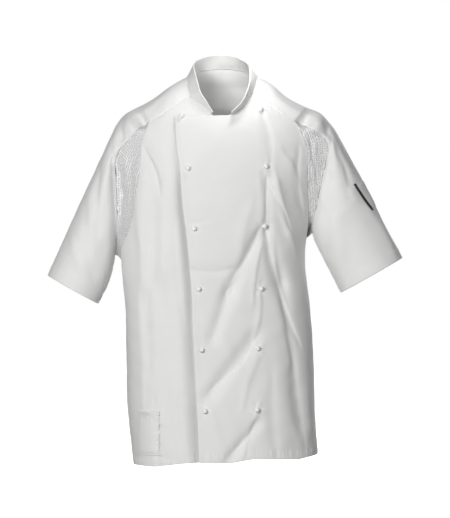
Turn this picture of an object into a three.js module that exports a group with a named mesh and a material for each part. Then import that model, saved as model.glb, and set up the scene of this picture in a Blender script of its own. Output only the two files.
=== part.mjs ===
// A short-sleeved double-breasted chef jacket, worn shape, open at neck, cuffs and hem.
// Millimetres, +Z up, the front faces -Y. The origin is at the base of the neck, between
// the shoulders, where a wearer carries the jacket.
import * as THREE from 'three';

// Cloth and seams
const CLOTH = 1.2;            // thickness of the twill wall
const NET = 1.0;              // thickness of the net wall
const NET_GAP = 2.4;          // the same along the net's edges, which turn sharply
const SEAM_GAP = 0.6;         // clear space between two pieces along a seam
const PATCH_GAP = 0.9;        // clear space between a patch and the panel under it
const DIP = 12;               // how far the under front lies behind the overlap
const DIP_START = 34;         // the dip starts this far before the overlap's edge
const DIP_TOP = 34;           // and this far above the overlap's top edge
const DIP_LENGTH = 60;        // length over which the under front dips
const COLLAR_FOOT = 0.07;     // part of the band's width left free above its seam
const RIM_SMOOTH = 28;        // length over which the collar's rim is drawn smooth
const COLLAR_CENTRE = { x: -4, y: 6 };  // middle of the neck, from which directions are taken
const SIDE_SEAM = 97;         // degrees from centre front round to the side seam
const UNDER_FLAT = 3;         // the under front loses its folds this many times sooner than it dips
const HEM_EVEN = 0.45;        // columns at the hem: 0 evenly spaced, 1 spaced as at the top
const COLUMN_BEND = 1.5;      // exponent by which a column moves from hem to top spacing
const RIDGE_SET = 7;          // the arm's ridge starts this far behind the side plane
const RIDGE_LEVEL = 6;        // and meets it at this station
const LIFT_RUN = 1 / 3;       // a seam that is lifted moves this much of it to the centre
const FOLD_FADE = 1.6;        // folds fade past their ends over this many widths
const FOLD_FACING = 2.2;      // and towards the sides, at this rate with the facing
const DENT_END = 0.2;         // part of a sleeve dent's length that reaches past its ends
const DENT_FADE = 8;          // rate at which a sleeve dent fades there

// Fastening
const STUD_RADIUS = 5.2;      // ball head of a stud
const STUD_NECK = 2.0;        // radius of the short neck below the ball
const STUD_GAP = 0.4;         // clear space between a stud's foot and the cloth
const STUD_RISE = 5.6;        // height of the ball's centre above the cloth

// Grid density of the walls
const ROWS = 23;              // rows of the fronts and the back, hem to top
const STEPS_HALF_SLEEVE = 8;
const STEPS_COLLAR = 3;
const STEPS_NECK_FRONT = 6;
const STEPS_NECK_SLEEVE = 4;
const STEPS_NECK_BACK = 10;
const STEPS_RAGLAN = 4;
const STEPS_ARMHOLE = 10;
const STEPS_TUBE = 5;
const STEPS_STUD = { up: 5, round: 8 };
const POCKET_GRID = { columns: 5, rows: 7 };
const PEN_GRID = { columns: 5, rows: 4 };
const TAPE_GRID = { columns: 6, rows: 1 };
const GUSSET_START = 0.3;     // the net starts this part of a station below the seam's tip
const MEETING = 8;            // points that agree to this fraction of a millimetre meet at a seam

const COTTON = 0xeceded;
const NET_WHITE = 0xe4e5e6;
const STUD_WHITE = 0xf4f4f2;
const BLACK_TAPE = 0x151515;

// The figure inside: rings by height. left and right are the sides, mid the depth of the
// side line, front and back the depths from it, square the exponent of the ring, turn the
// slope by which the ring's far side recedes.
const RINGS = [
  { z: 34, left: -62, right: 52, mid: 6, front: 24, back: 60, square: 2.0, turn: 0 },
  { z: 6, left: -84, right: 76, mid: 5, front: 34, back: 74, square: 2.0, turn: 0 },
  { z: -14, left: -108, right: 100, mid: 4, front: 44, back: 86, square: 2.0, turn: 0 },
  { z: -34, left: -134, right: 124, mid: 3, front: 55, back: 95, square: 2.05, turn: 0 },
  { z: -54, left: -168, right: 160, mid: 2, front: 68, back: 103, square: 2.1, turn: 0 },
  { z: -74, left: -202, right: 198, mid: 1, front: 80, back: 110, square: 2.15, turn: 0.01 },
  { z: -104, left: -214, right: 212, mid: 0, front: 97, back: 117, square: 2.25, turn: 0.03 },
  { z: -150, left: -206, right: 200, mid: 0, front: 111, back: 122, square: 2.35, turn: 0.05 },
  { z: -210, left: -200, right: 184, mid: 0, front: 122, back: 124, square: 2.4, turn: 0.08 },
  { z: -300, left: -206, right: 167, mid: 0, front: 129, back: 120, square: 2.4, turn: 0.1 },
  { z: -364, left: -204, right: 162, mid: 0, front: 129, back: 115, square: 2.4, turn: 0.1 },
  { z: -450, left: -197, right: 172, mid: 0, front: 127, back: 112, square: 2.35, turn: 0.1 },
  { z: -560, left: -194, right: 179, mid: 0, front: 126, back: 113, square: 2.3, turn: 0.08 },
  { z: -660, left: -191, right: 182, mid: 0, front: 127, back: 118, square: 2.3, turn: 0.07 },
  { z: -780, left: -178, right: 189, mid: 0, front: 129, back: 124, square: 2.3, turn: 0.06 },
];

// Stations along each sleeve, from the neck to the cuff. ridge is the top line of the arm,
// edge the sleeve's own seam, body the seam on the front or back; sweep is how far the
// section turns from the ridge to the edge, in degrees, and deep its half depth. A station
// with deep 0 is sewn to the body, and lift raises its seam on the back.
const STATION_COLUMNS = ['ridgeX', 'ridgeZ', 'edgeX', 'edgeZ', 'bodyX', 'bodyZ', 'sweep', 'deep', 'lift'];
function stations(rows) {
  return rows.map((row) => Object.fromEntries(STATION_COLUMNS.map((name, k) => [name, row[k]])));
}
const SLEEVE_RIGHT = stations([
  [-74, 6, -68, -34, -68, -34, 55, 0, 54],
  [-106, -12, -104, -56, -104, -56, 55, 0, 28],
  [-138, -36, -128, -74, -128, -74, 58, 0, 12],
  [-166, -52, -148, -86, -148, -86, 62, 0, 2],
  [-196, -68, -171, -101, -153, -100, 84, 72, 0],
  [-214, -88, -190, -122, -161, -122, 98, 67, 0],
  [-226, -112, -208, -142, -164, -146, 110, 65, 0],
  [-243, -150, -216, -170, -166, -178, 124, 66, 0],
  [-262, -192, -214, -216, -172, -222, 138, 68, 0],
  [-286, -244, -213, -284, -182, -286, 150, 70, 0],
  [-312, -302, -218, -350, -204, -362, 180, 70, 0],
  [-332, -346, -230, -402, -204, -362, 180, 69, 0],
  [-352, -390, -252, -446, -204, -362, 180, 68, 0],
]);
const SLEEVE_LEFT = stations([
  [66, 6, 58, -28, 58, -28, 55, 0, 48],
  [98, -12, 82, -46, 82, -46, 55, 0, 26],
  [128, -37, 108, -65, 108, -65, 58, 0, 11],
  [162, -54, 140, -84, 140, -84, 62, 0, 2],
  [192, -67, 171, -98, 152, -104, 84, 71, 0],
  [210, -86, 194, -113, 159, -120, 98, 66, 0],
  [226, -108, 206, -128, 165, -138, 110, 63, 0],
  [244, -140, 206, -154, 166, -166, 124, 62, 0],
  [262, -174, 197, -196, 166, -206, 138, 61, 0],
  [278, -204, 186, -250, 168, -256, 155, 61, 0],
  [293, -233, 178, -306, 167, -318, 180, 61, 0],
  [322, -290, 198, -354, 167, -318, 180, 60, 0],
  [356, -355, 234, -424, 167, -318, 180, 60, 0],
]);
const TIP = 3;                // station of the gusset's tip
const UNDERARM = 10;          // station where the sleeve closes under the arm
const BACK_FULL = 12;         // the sleeve head is this much deeper behind than in front,
const BACK_FULL_END = 8;      // down to this station

// Neckline of each front from the raglan seam to centre front and on to the top corner.
const NECK_RIGHT = [
  { x: -68, z: -34 }, { x: -56, z: -42 }, { x: -40, z: -55 }, { x: -26, z: -70 },
  { x: -8, z: -80 }, { x: 30, z: -81 }, { x: 76, z: -81 },
];
const NECK_LEFT = [
  { x: 58, z: -28 }, { x: 51, z: -36 }, { x: 40, z: -52 }, { x: 14, z: -72 },
  { x: -4, z: -74 }, { x: -50, z: -75 }, { x: -95.5, z: -72.5 },
];
// Front edge of each front from top to hem.
const EDGE_LEFT = [
  { z: -72, x: -97 }, { z: -100, x: -95.6 }, { z: -148, x: -91.4 }, { z: -174, x: -87 },
  { z: -208, x: -84.6 }, { z: -262, x: -79.6 }, { z: -304, x: -74 }, { z: -360, x: -68.4 },
  { z: -430, x: -63 }, { z: -490, x: -61.4 }, { z: -578, x: -56.8 }, { z: -668, x: -52.2 },
  { z: -760, x: -48 },
];
const EDGE_RIGHT = [{ z: -80, x: 78 }, { z: -400, x: 82 }, { z: -748, x: 70 }];
// Lower edge by place across the front, and the level back hem.
const HEM = [
  { x: -180, z: -766 }, { x: -138, z: -768 }, { x: -82, z: -761 }, { x: -48, z: -759 },
  { x: 14, z: -760 }, { x: 60, z: -752 }, { x: 150, z: -754 }, { x: 192, z: -746 },
];
const HEM_BACK = -762;

// Main folds of the body: a soft trough (push < 0) or ridge from one end to the other,
// wide across, on the front (side 1) or the back (side -1).
const FOLDS = [
  { x1: 66, z1: -318, x2: 10, z2: -424, wide: 13, push: -7, side: 1 },
  { x1: 10, z1: -424, x2: -20, z2: -508, wide: 13, push: -7, side: 1 },
  { x1: 53, z1: -518, x2: -28, z2: -626, wide: 14, push: -7, side: 1 },
  { x1: 60, z1: -690, x2: 12, z2: -752, wide: 11, push: -6, side: 1 },
  { x1: 106, z1: -214, x2: 132, z2: -306, wide: 11, push: 5, side: 1 },
  { x1: 86, z1: -306, x2: 112, z2: -406, wide: 13, push: -6, side: 1 },
  { x1: 112, z1: -406, x2: 152, z2: -674, wide: 15, push: -7, side: 1 },
  { x1: 84, z1: -210, x2: 86, z2: -290, wide: 9, push: -4, side: 1 },
  { x1: -60, z1: -382, x2: 12, z2: -380, wide: 11, push: -2.5, side: 1 },
  { x1: -156, z1: -148, x2: -128, z2: -216, wide: 11, push: -4, side: 1 },
  { x1: -140, z1: -220, x2: -140, z2: -400, wide: 12, push: -4, side: 1 },
  { x1: -163, z1: -200, x2: -163, z2: -400, wide: 10, push: 4, side: 1 },
  { x1: -118, z1: -420, x2: -108, z2: -640, wide: 15, push: -3, side: 1 },
  { x1: -120, z1: -130, x2: -70, z2: -300, wide: 14, push: -5, side: -1 },
  { x1: 112, z1: -130, x2: 64, z2: -310, wide: 14, push: -5, side: -1 },
  { x1: -20, z1: -60, x2: -24, z2: -220, wide: 16, push: -4, side: -1 },
  { x1: -90, z1: -380, x2: -60, z2: -700, wide: 18, push: -6, side: -1 },
  { x1: 70, z1: -360, x2: 92, z2: -690, wide: 18, push: -6, side: -1 },
  { x1: 10, z1: -420, x2: 4, z2: -740, wide: 20, push: 5, side: -1 },
];
// Soft dents of the sleeves by place along (0 to 1) and round from the ridge (degrees,
// front positive).
const SLEEVE_FOLDS = [
  { along1: 0.45, round1: 70, along2: 0.72, round2: 60, wide: 0.05, push: -4 },
  { along1: 0.5, round1: 30, along2: 0.85, round2: 22, wide: 0.05, push: -3 },
  { along1: 0.48, round1: -60, along2: 0.8, round2: -50, wide: 0.05, push: -4 },
  { along1: 0.62, round1: 120, along2: 0.8, round2: 100, wide: 0.05, push: -3 },
];

// Rim of the collar: how the band leans from its base seam, by the direction round the
// neck (0 centre front, 180 centre back, wearer's right negative).
const COLLAR_LEAN = [
  { turn: -180, x: -2, y: -18, z: 28 }, { turn: -125, x: 5, y: -19, z: 26 },
  { turn: -90, x: 11, y: -19, z: 21 }, { turn: -55, x: 18, y: -22, z: 10 },
  { turn: -35, x: 10, y: -18, z: 8 }, { turn: -15, x: 3, y: -6, z: 4 },
  { turn: 10, x: 2, y: -24, z: 5 }, { turn: 40, x: -5, y: -27, z: 7 },
  { turn: 62, x: -9, y: -26, z: 12 }, { turn: 90, x: -15, y: -20, z: 18 },
  { turn: 135, x: -7, y: -19, z: 26 }, { turn: 180, x: -2, y: -18, z: 28 },
];

// Studs on the overlap, top to bottom.
const STUDS_LEFT = [
  { x: -84, z: -76.5 }, { x: -71, z: -179.5 }, { x: -59, z: -298 },
  { x: -50, z: -417 }, { x: -44, z: -537 }, { x: -37.5, z: -658.5 },
];
const STUDS_RIGHT = [
  { x: 72, z: -63.5 }, { x: 82, z: -175 }, { x: 77.5, z: -292 },
  { x: 72, z: -416.5 }, { x: 66, z: -535 }, { x: 64, z: -656 },
];

// Patch pocket low on the wearer's right front, and the pen pocket on the left sleeve.
const HIP_POCKET = { left: -172, right: -128, top: -659, bottom: -742 };
const PEN_POCKET = { alongStart: 0.745, alongEnd: 0.865, ridge: 5, mouthStart: 48, mouthEnd: 32 };
const TAPE = { clear: 0.8, wide: 4 };  // the binding beside the mouth, in degrees round the arm

const radians = (degrees) => (degrees * Math.PI) / 180;
const degrees = (angle) => (angle * 180) / Math.PI;
const clamp = (value, low, high) => Math.min(Math.max(value, low), high);
const mix = (a, b, t) => a + (b - a) * t;
const ease = (t) => t * t * (3 - 2 * t);
const full = (angle) => (angle < 0 ? angle + 360 : angle);
const signed = (angle) => (angle > 180 ? angle - 360 : angle);

// Value of a named column at a key, by a smooth curve through the table's rows.
function columnAt(table, key, at, column) {
  const down = table[0][key] > table[table.length - 1][key];
  const last = table.length - 1;
  let i = 0;
  while (i < last - 1 && (down ? at < table[i + 1][key] : at > table[i + 1][key])) i += 1;
  const k = (n) => table[clamp(n, 0, last)][key];
  const v = (n) => table[clamp(n, 0, last)][column];
  const t = clamp((at - k(i)) / (k(i + 1) - k(i)), 0, 1);
  const span = k(i + 1) - k(i);
  const slopeIn = i > 0 ? ((v(i + 1) - v(i - 1)) / (k(i + 1) - k(i - 1))) * span : v(i + 1) - v(i);
  const slopeOut = i + 2 <= last ? ((v(i + 2) - v(i)) / (k(i + 2) - k(i))) * span : v(i + 1) - v(i);
  const t2 = t * t;
  const t3 = t2 * t;
  return (2 * t3 - 3 * t2 + 1) * v(i) + (t3 - 2 * t2 + t) * slopeIn
    + (3 * t2 - 2 * t3) * v(i + 1) + (t3 - t2) * slopeOut;
}

// Value of a column by straight lines between rows.
function lineAt(table, key, at, column) {
  let i = 0;
  const rising = table[0][key] < table[table.length - 1][key];
  while (i < table.length - 2 && (rising ? at > table[i + 1][key] : at < table[i + 1][key])) i += 1;
  const t = clamp((at - table[i][key]) / (table[i + 1][key] - table[i][key]), 0, 1);
  return mix(table[i][column], table[i + 1][column], t);
}

function ringAt(z) {
  const ring = {};
  for (const name of ['left', 'right', 'mid', 'front', 'back', 'square', 'turn']) {
    ring[name] = columnAt(RINGS, 'z', z, name);
  }
  ring.centre = (ring.left + ring.right) / 2;
  ring.half = (ring.right - ring.left) / 2;
  return ring;
}

// How far the folds push the cloth at a place: each fold is a bell across its line, fading
// at its two ends.
function foldPush(x, z, side) {
  let push = 0;
  for (const fold of FOLDS) {
    if (fold.side !== side) continue;
    const dx = fold.x2 - fold.x1;
    const dz = fold.z2 - fold.z1;
    const long = Math.hypot(dx, dz);
    const along = ((x - fold.x1) * dx + (z - fold.z1) * dz) / long;
    const across = ((x - fold.x1) * dz - (z - fold.z1) * dx) / long;
    const past = Math.max(-along, along - long, 0) / (FOLD_FADE * fold.wide);
    push += fold.push * Math.exp(-((across / fold.wide) ** 2) - past * past);
  }
  return push;
}

// A point of the figure at an angle round from centre front, moved out by its folds.
function bodyPoint(angle, z) {
  const ring = ringAt(z);
  const s = Math.sin(radians(angle));
  const c = Math.cos(radians(angle));
  const side = c >= 0 ? 1 : -1;
  const depth = Math.max(1 - Math.abs(s) ** ring.square, 0) ** (1 / ring.square);
  const x = ring.centre + ring.half * s;
  const facing = clamp(Math.abs(c) * FOLD_FACING, 0, 1);
  const reach = side > 0 ? ring.front : ring.back;
  const y = ring.mid - side * depth * reach + ring.turn * (x - ring.centre);
  const push = foldPush(x, z, side) * facing;
  return new THREE.Vector3(x, y - side * push, z);
}

// The under front dips behind the overlap: 0 clear of it, 1 well under it.
function underOverlap(x, z) {
  const inside = clamp((x - columnAt(EDGE_LEFT, 'z', z, 'x') + DIP_START) / DIP_LENGTH, 0, 1);
  const below = clamp((NECK_LEFT[NECK_LEFT.length - 1].z + DIP_TOP - z) / DIP_LENGTH, 0, 1);
  return ease(inside) * ease(below);
}

// A point of the under front: the figure's own, set back and flat where it is covered.
function underPoint(angle, z) {
  const point = bodyPoint(angle, z);
  const cover = underOverlap(point.x, z);
  const flat = clamp(cover * UNDER_FLAT, 0, 1);
  point.y += foldPush(point.x, z, 1) * flat + DIP * cover;
  return point;
}

// The angle at which the figure's front or back has a given x.
function angleAt(x, z, side) {
  const ring = ringAt(z);
  const angle = degrees(Math.asin(clamp((x - ring.centre) / ring.half, -1, 1)));
  return side > 0 ? angle : Math.sign(angle || 1) * 180 - angle;
}

// Above the shoulder the rings narrow to the neck. Columns of the panels keep their place
// there on a ring of steady width: these turn a ring's angle to that place and back.
const SHOULDER = { z: -74, half: 200 };
function stretchedAngle(angle, ratio) {
  const front = Math.abs(angle) <= 90;
  const base = front ? angle : Math.sign(angle) * 180 - angle;
  const turned = degrees(Math.asin(clamp(Math.sin(radians(base)) * ratio, -1, 1)));
  return front ? turned : Math.sign(angle) * 180 - turned;
}
function placeOf(angle, z) {
  return z <= SHOULDER.z ? angle : stretchedAngle(angle, ringAt(z).half / SHOULDER.half);
}
function angleOf(place, z) {
  return z <= SHOULDER.z ? place : stretchedAngle(place, SHOULDER.half / ringAt(z).half);
}

// Both seams of a sleeve and its ridge at a station number, a fraction between stations.
function stationAt(table, at) {
  const rows = table.map((row, index) => ({ ...row, index }));
  const station = {};
  for (const name of Object.keys(table[0])) station[name] = columnAt(rows, 'index', at, name);
  return station;
}

// Where the seam of the front or back lies at a station.
function seamOnBody(table, at, side) {
  const s = stationAt(table, at);
  const hand = Math.sign(table[0].edgeX);
  const raised = side > 0 ? 0 : Math.max(s.lift, 0);
  const x = s.bodyX - hand * raised * LIFT_RUN;
  const z = s.bodyZ + raised;
  const closing = clamp(at - (UNDERARM - 1), 0, 1);
  return { angle: mix(angleAt(x, z, side), hand * SIDE_SEAM, closing * closing), z };
}

// The sleeve's half section at a station: an arc of an ellipse from the ridge to the edge.
// side 1 is the front half, -1 the back half; round runs from 0 at the ridge to 1.
function sleevePoint(table, at, side, round) {
  const s = stationAt(table, at);
  const hand = Math.sign(table[0].edgeX);
  const raised = side > 0 ? 0 : Math.max(s.lift, 0);
  const edgeX = s.edgeX - hand * raised * LIFT_RUN;
  const edgeZ = s.edgeZ + raised;
  const ridgeY = mix(RIDGE_SET, 0, clamp(at / RIDGE_LEVEL, 0, 1));
  const sweep = radians(Math.min(s.sweep, 180));
  const fuller = clamp((BACK_FULL_END - at) / (BACK_FULL_END - TIP - 1), 0, 1);
  const free = s.deep + (side < 0 ? BACK_FULL * fuller : 0);
  let deep = free;
  if (at <= TIP + 1) {
    const seam = seamOnBody(table, Math.min(at, TIP), side);
    const bodyY = bodyPoint(seam.angle, seam.z).y;
    const sewnDeep = ((ridgeY - bodyY) * side) / Math.sin(sweep);
    deep = at <= TIP ? sewnDeep : mix(sewnDeep, free, at - TIP);
  }
  const reach = 1 - Math.cos(sweep);
  const inPlane = (1 - Math.cos(sweep * round)) / reach;
  const y = ridgeY - side * deep * Math.sin(sweep * round);
  const point = new THREE.Vector3(mix(s.ridgeX, edgeX, inPlane), y, mix(s.ridgeZ, edgeZ, inPlane));
  const degreesRound = side * round * degrees(sweep);
  const along = at / (table.length - 1);
  let push = 0;
  for (const fold of SLEEVE_FOLDS) {
    const t = (along - fold.along1) / (fold.along2 - fold.along1);
    if (t < -DENT_END || t > 1 + DENT_END) continue;
    const centre = mix(fold.round1, fold.round2, clamp(t, 0, 1));
    const across = (degreesRound - centre) / (360 * fold.wide);
    const past = Math.max(-t, t - 1, 0) * DENT_FADE;
    push += fold.push * Math.exp(-across * across - past * past);
  }
  point.y -= side * push * Math.sin(sweep * round);
  return point;
}

// A grid of points is grid[column][row]. Its wall stands half to each side of the points.
function gridNormals(grid) {
  const columns = grid.length;
  const rows = grid[0].length;
  return grid.map((line, i) => line.map((unused, j) => {
    const a = grid[Math.max(i - 1, 0)][j];
    const b = grid[Math.min(i + 1, columns - 1)][j];
    const c = grid[i][Math.max(j - 1, 0)];
    const d = grid[i][Math.min(j + 1, rows - 1)];
    const across = new THREE.Vector3().subVectors(b, a);
    const along = new THREE.Vector3().subVectors(d, c);
    return across.cross(along).normalize();
  }));
}

// A cloth piece: its grid of points, the outward direction at each, and its thickness.
function clothPiece(name, grid, thickness, finish) {
  return { name, grid, normals: gridNormals(grid), thickness, finish };
}

// The border points of a grid, once each.
function borderOf(grid) {
  const n = grid.length - 1;
  const m = grid[0].length - 1;
  const places = [];
  for (let i = 0; i <= n; i += 1) {
    for (let j = 0; j <= m; j += 1) {
      if (i === 0 || i === n || j === 0 || j === m) places.push([i, j]);
    }
  }
  return places;
}

// Pieces that meet at a seam point share one outward direction there, so that their edges
// face each other across the seam.
function shareSeams(pieces) {
  const meeting = new Map();
  const keyOf = (p) => [p.x, p.y, p.z].map((value) => Math.round(value * MEETING)).join(',');
  for (const piece of pieces) {
    for (const [i, j] of borderOf(piece.grid)) {
      const key = keyOf(piece.grid[i][j]);
      if (!meeting.has(key)) meeting.set(key, []);
      meeting.get(key).push([piece, i, j]);
    }
  }
  for (const members of meeting.values()) {
    const sum = new THREE.Vector3();
    for (const [piece, i, j] of members) sum.add(piece.normals[i][j]);
    sum.normalize();
    for (const [piece, i, j] of members) piece.normals[i][j] = sum.clone();
  }
}

// Draws the named edges of a piece in by half the seam's gap, square to the seam.
function openSeams(piece, edges, gap) {
  const { grid, normals } = piece;
  const n = grid.length - 1;
  const m = grid[0].length - 1;
  const shifts = [];
  const draw = (i, j, previous, next, inner) => {
    const along = new THREE.Vector3().subVectors(grid[next[0]][next[1]], grid[previous[0]][previous[1]]);
    const inward = along.cross(normals[i][j]).normalize();
    const toInner = new THREE.Vector3().subVectors(grid[inner[0]][inner[1]], grid[i][j]);
    if (inward.dot(toInner) < 0) inward.negate();
    shifts.push([i, j, inward.multiplyScalar(gap / 2)]);
  };
  for (const edge of edges) {
    const fixed = { start: 0, end: n, low: 0, high: m }[edge];
    const step = edge === 'start' || edge === 'low' ? 1 : -1;
    const last = edge === 'start' || edge === 'end' ? m : n;
    for (let k = 0; k <= last; k += 1) {
      const before = Math.max(k - 1, 0);
      const after = Math.min(k + 1, last);
      if (edge === 'start' || edge === 'end') {
        draw(fixed, k, [fixed, before], [fixed, after], [fixed + step, k]);
      } else {
        draw(k, fixed, [before, fixed], [after, fixed], [k, fixed + step]);
      }
    }
  }
  for (const [i, j, shift] of shifts) grid[i][j] = grid[i][j].clone().add(shift);
}

// A closed solid: the grid moved out and in by half the thickness, and its four edges.
function wallGeometry({ grid, normals, thickness }, lift = 0) {
  const n = grid.length;
  const m = grid[0].length;
  const positions = [];
  for (const reach of [lift + thickness / 2, lift - thickness / 2]) {
    for (let i = 0; i < n; i += 1) {
      for (let j = 0; j < m; j += 1) {
        const p = grid[i][j].clone().addScaledVector(normals[i][j], reach);
        positions.push(p.x, p.y, p.z);
      }
    }
  }
  const at = (layer, i, j) => layer * n * m + i * m + j;
  const faces = [];
  const quad = (a, b, c, d) => faces.push(a, b, c, a, c, d);
  for (let i = 0; i < n - 1; i += 1) {
    for (let j = 0; j < m - 1; j += 1) {
      quad(at(0, i, j), at(0, i + 1, j), at(0, i + 1, j + 1), at(0, i, j + 1));
      quad(at(1, i, j), at(1, i, j + 1), at(1, i + 1, j + 1), at(1, i + 1, j));
    }
  }
  for (let i = 0; i < n - 1; i += 1) {
    quad(at(0, i, 0), at(1, i, 0), at(1, i + 1, 0), at(0, i + 1, 0));
    quad(at(0, i + 1, m - 1), at(1, i + 1, m - 1), at(1, i, m - 1), at(0, i, m - 1));
  }
  for (let j = 0; j < m - 1; j += 1) {
    quad(at(0, 0, j + 1), at(1, 0, j + 1), at(1, 0, j), at(0, 0, j));
    quad(at(0, n - 1, j), at(1, n - 1, j), at(1, n - 1, j + 1), at(0, n - 1, j + 1));
  }
  const geometry = new THREE.BufferGeometry();
  geometry.setAttribute('position', new THREE.Float32BufferAttribute(positions, 3));
  geometry.setIndex(faces);
  return geometry;
}

// Station numbers at which seams are sampled, so that neighbours share their points.
function evenly(from, to, steps) {
  return Array.from({ length: steps + 1 }, (unused, i) => mix(from, to, i / steps));
}
const RAGLAN = evenly(0, TIP, STEPS_RAGLAN);
const ARMHOLE = evenly(TIP, UNDERARM, STEPS_ARMHOLE);
const TUBE = evenly(UNDERARM, SLEEVE_RIGHT.length - 1, STEPS_TUBE);

// Top line of a front or back: neckline, raglan seam, then armhole down to the side seam.
function topOfFront(neck, table) {
  const line = [];
  for (let i = neck.length - 1; i > 0; i -= 1) {
    line.push({ angle: angleAt(neck[i].x, neck[i].z, 1), z: neck[i].z });
  }
  for (const at of [...RAGLAN, ...ARMHOLE.slice(1)]) line.push(seamOnBody(table, at, 1));
  return line;
}

// A front: columns hang from the top line to the hem, keeping their place between the
// front edge and the side seam; rows run from hem to top.
function frontGrid(neck, table, edge, hand, pointAt) {
  const top = topOfFront(neck, table);
  const sideAngle = hand * SIDE_SEAM;
  const edgePlace = (z) => placeOf(angleAt(columnAt(edge, 'z', z, 'x'), z, 1), z);
  const place = (angle, z) => (placeOf(angle, z) - edgePlace(z)) / (sideAngle - edgePlace(z));
  const count = top.length - 1;
  return top.map((point, i) => {
    const topPlace = i === 0 ? 0 : place(point.angle, point.z);
    const hemPlace = mix(i / count, topPlace, HEM_EVEN);
    const line = [];
    for (let j = 0; j <= ROWS; j += 1) {
      const rise = j / ROWS;
      const hemAngle = mix(edgePlace(HEM_BACK), sideAngle, hemPlace);
      const hemZ = lineAt(HEM, 'x', bodyPoint(hemAngle, HEM_BACK).x, 'z');
      const z = mix(hemZ, point.z, rise);
      const at = mix(hemPlace, topPlace, rise ** COLUMN_BEND);
      line.push(pointAt(angleOf(mix(edgePlace(z), sideAngle, at), z), z));
    }
    return line;
  });
}

// The neck seam of the back: 0 at the wearer's right raglan seam, 1 at the left one.
const NECK_BACK = { z: 26, steps: 6 };
function neckBack(t) {
  const right = seamOnBody(SLEEVE_RIGHT, 0, -1);
  const left = seamOnBody(SLEEVE_LEFT, 0, -1);
  const level = mix(right.z, left.z, t);
  const z = level + (NECK_BACK.z - level) * Math.sin(Math.PI * t);
  return { angle: mix(full(right.angle), left.angle, t), z };
}

// The back: from the wearer's right side seam round to the left one.
function backGrid() {
  const downSeam = [...RAGLAN, ...ARMHOLE.slice(1)];
  const top = [...downSeam].reverse().map((at) => seamOnBody(SLEEVE_RIGHT, at, -1));
  for (let i = 1; i < NECK_BACK.steps; i += 1) top.push(neckBack(i / NECK_BACK.steps));
  top.push(...downSeam.map((at) => seamOnBody(SLEEVE_LEFT, at, -1)));
  const start = 360 - SIDE_SEAM;
  const place = (angle, z) => (full(placeOf(signed(angle), z)) - start) / (SIDE_SEAM - start);
  const count = top.length - 1;
  return top.map((point, i) => {
    const topPlace = place(point.angle, point.z);
    const hemPlace = mix(i / count, topPlace, HEM_EVEN);
    const line = [];
    for (let j = 0; j <= ROWS; j += 1) {
      const rise = j / ROWS;
      const hemZ = lineAt(HEM, 'x', bodyPoint(mix(start, SIDE_SEAM, hemPlace), HEM_BACK).x, 'z');
      const z = mix(hemZ, point.z, rise);
      const at = signed(mix(start, SIDE_SEAM, mix(hemPlace, topPlace, rise ** COLUMN_BEND)));
      line.push(bodyPoint(angleOf(at, z), z));
    }
    return line;
  });
}

// A sleeve: each station is a row from its front edge over the ridge to its back edge.
function sleeveGrid(table) {
  return [...RAGLAN, ...ARMHOLE.slice(1), ...TUBE.slice(1)].map((at) => {
    const line = [];
    for (let j = -STEPS_HALF_SLEEVE; j <= STEPS_HALF_SLEEVE; j += 1) {
      const side = j < 0 ? 1 : -1;
      line.push(sleevePoint(table, at, side, Math.abs(j) / STEPS_HALF_SLEEVE));
    }
    return line;
  });
}

// A gusset: from the front tip down the armhole, under the arm and up to the back tip.
function gussetGrid(table) {
  const grid = [];
  const places = [TIP + GUSSET_START, ...ARMHOLE.slice(1)];
  const add = (at, side) => {
    const seam = seamOnBody(table, at, side);
    const a = bodyPoint(seam.angle, seam.z);
    const b = sleevePoint(table, at, side, 1);
    grid.push([a, a.clone().lerp(b, 0.5), b]);
  };
  for (const at of places) add(at, 1);
  for (const at of places.slice(0, -1).reverse()) add(at, -1);
  return grid;
}

// The neck seam, from the wearer's right front over the shoulders and the back to the left.
function neckSeam() {
  const frontPart = (neck, pointAt) => {
    const points = neck.slice(0, 4).map((p) => pointAt(angleAt(p.x, p.z, 1), p.z));
    return new THREE.CatmullRomCurve3(points).getPoints(STEPS_NECK_FRONT);
  };
  const shoulderPart = (table) => {
    const points = [];
    for (let j = 1 - STEPS_NECK_SLEEVE; j <= STEPS_NECK_SLEEVE; j += 1) {
      points.push(sleevePoint(table, 0, j < 0 ? 1 : -1, Math.abs(j) / STEPS_NECK_SLEEVE));
    }
    return points;
  };
  const backPart = evenly(0, 1, STEPS_NECK_BACK).slice(1, -1).map((t) => {
    const place = neckBack(t);
    return bodyPoint(place.angle, place.z);
  });
  return [
    ...frontPart(NECK_RIGHT, underPoint).reverse(), ...shoulderPart(SLEEVE_RIGHT), ...backPart,
    ...shoulderPart(SLEEVE_LEFT).reverse(), ...frontPart(NECK_LEFT, bodyPoint),
  ];
}

// A line drawn smooth: each point is the mean of its neighbours, weighted by a bell over
// the distance along the base line, narrower towards the ends.
function smoothLine(line, base, wide) {
  const run = [0];
  for (let i = 1; i < base.length; i += 1) run.push(run[i - 1] + base[i].distanceTo(base[i - 1]));
  const last = run.length - 1;
  return line.map((unused, i) => {
    const reach = Math.min(wide, Math.min(run[i], run[last] - run[i]) / 2 + 1);
    const sum = new THREE.Vector3();
    let weights = 0;
    line.forEach((point, k) => {
      const span = (run[Math.min(k + 1, last)] - run[Math.max(k - 1, 0)]) / 2;
      const weight = span * Math.exp(-(((run[k] - run[i]) / reach) ** 2));
      sum.addScaledVector(point, weight);
      weights += weight;
    });
    return sum.divideScalar(weights);
  });
}

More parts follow.
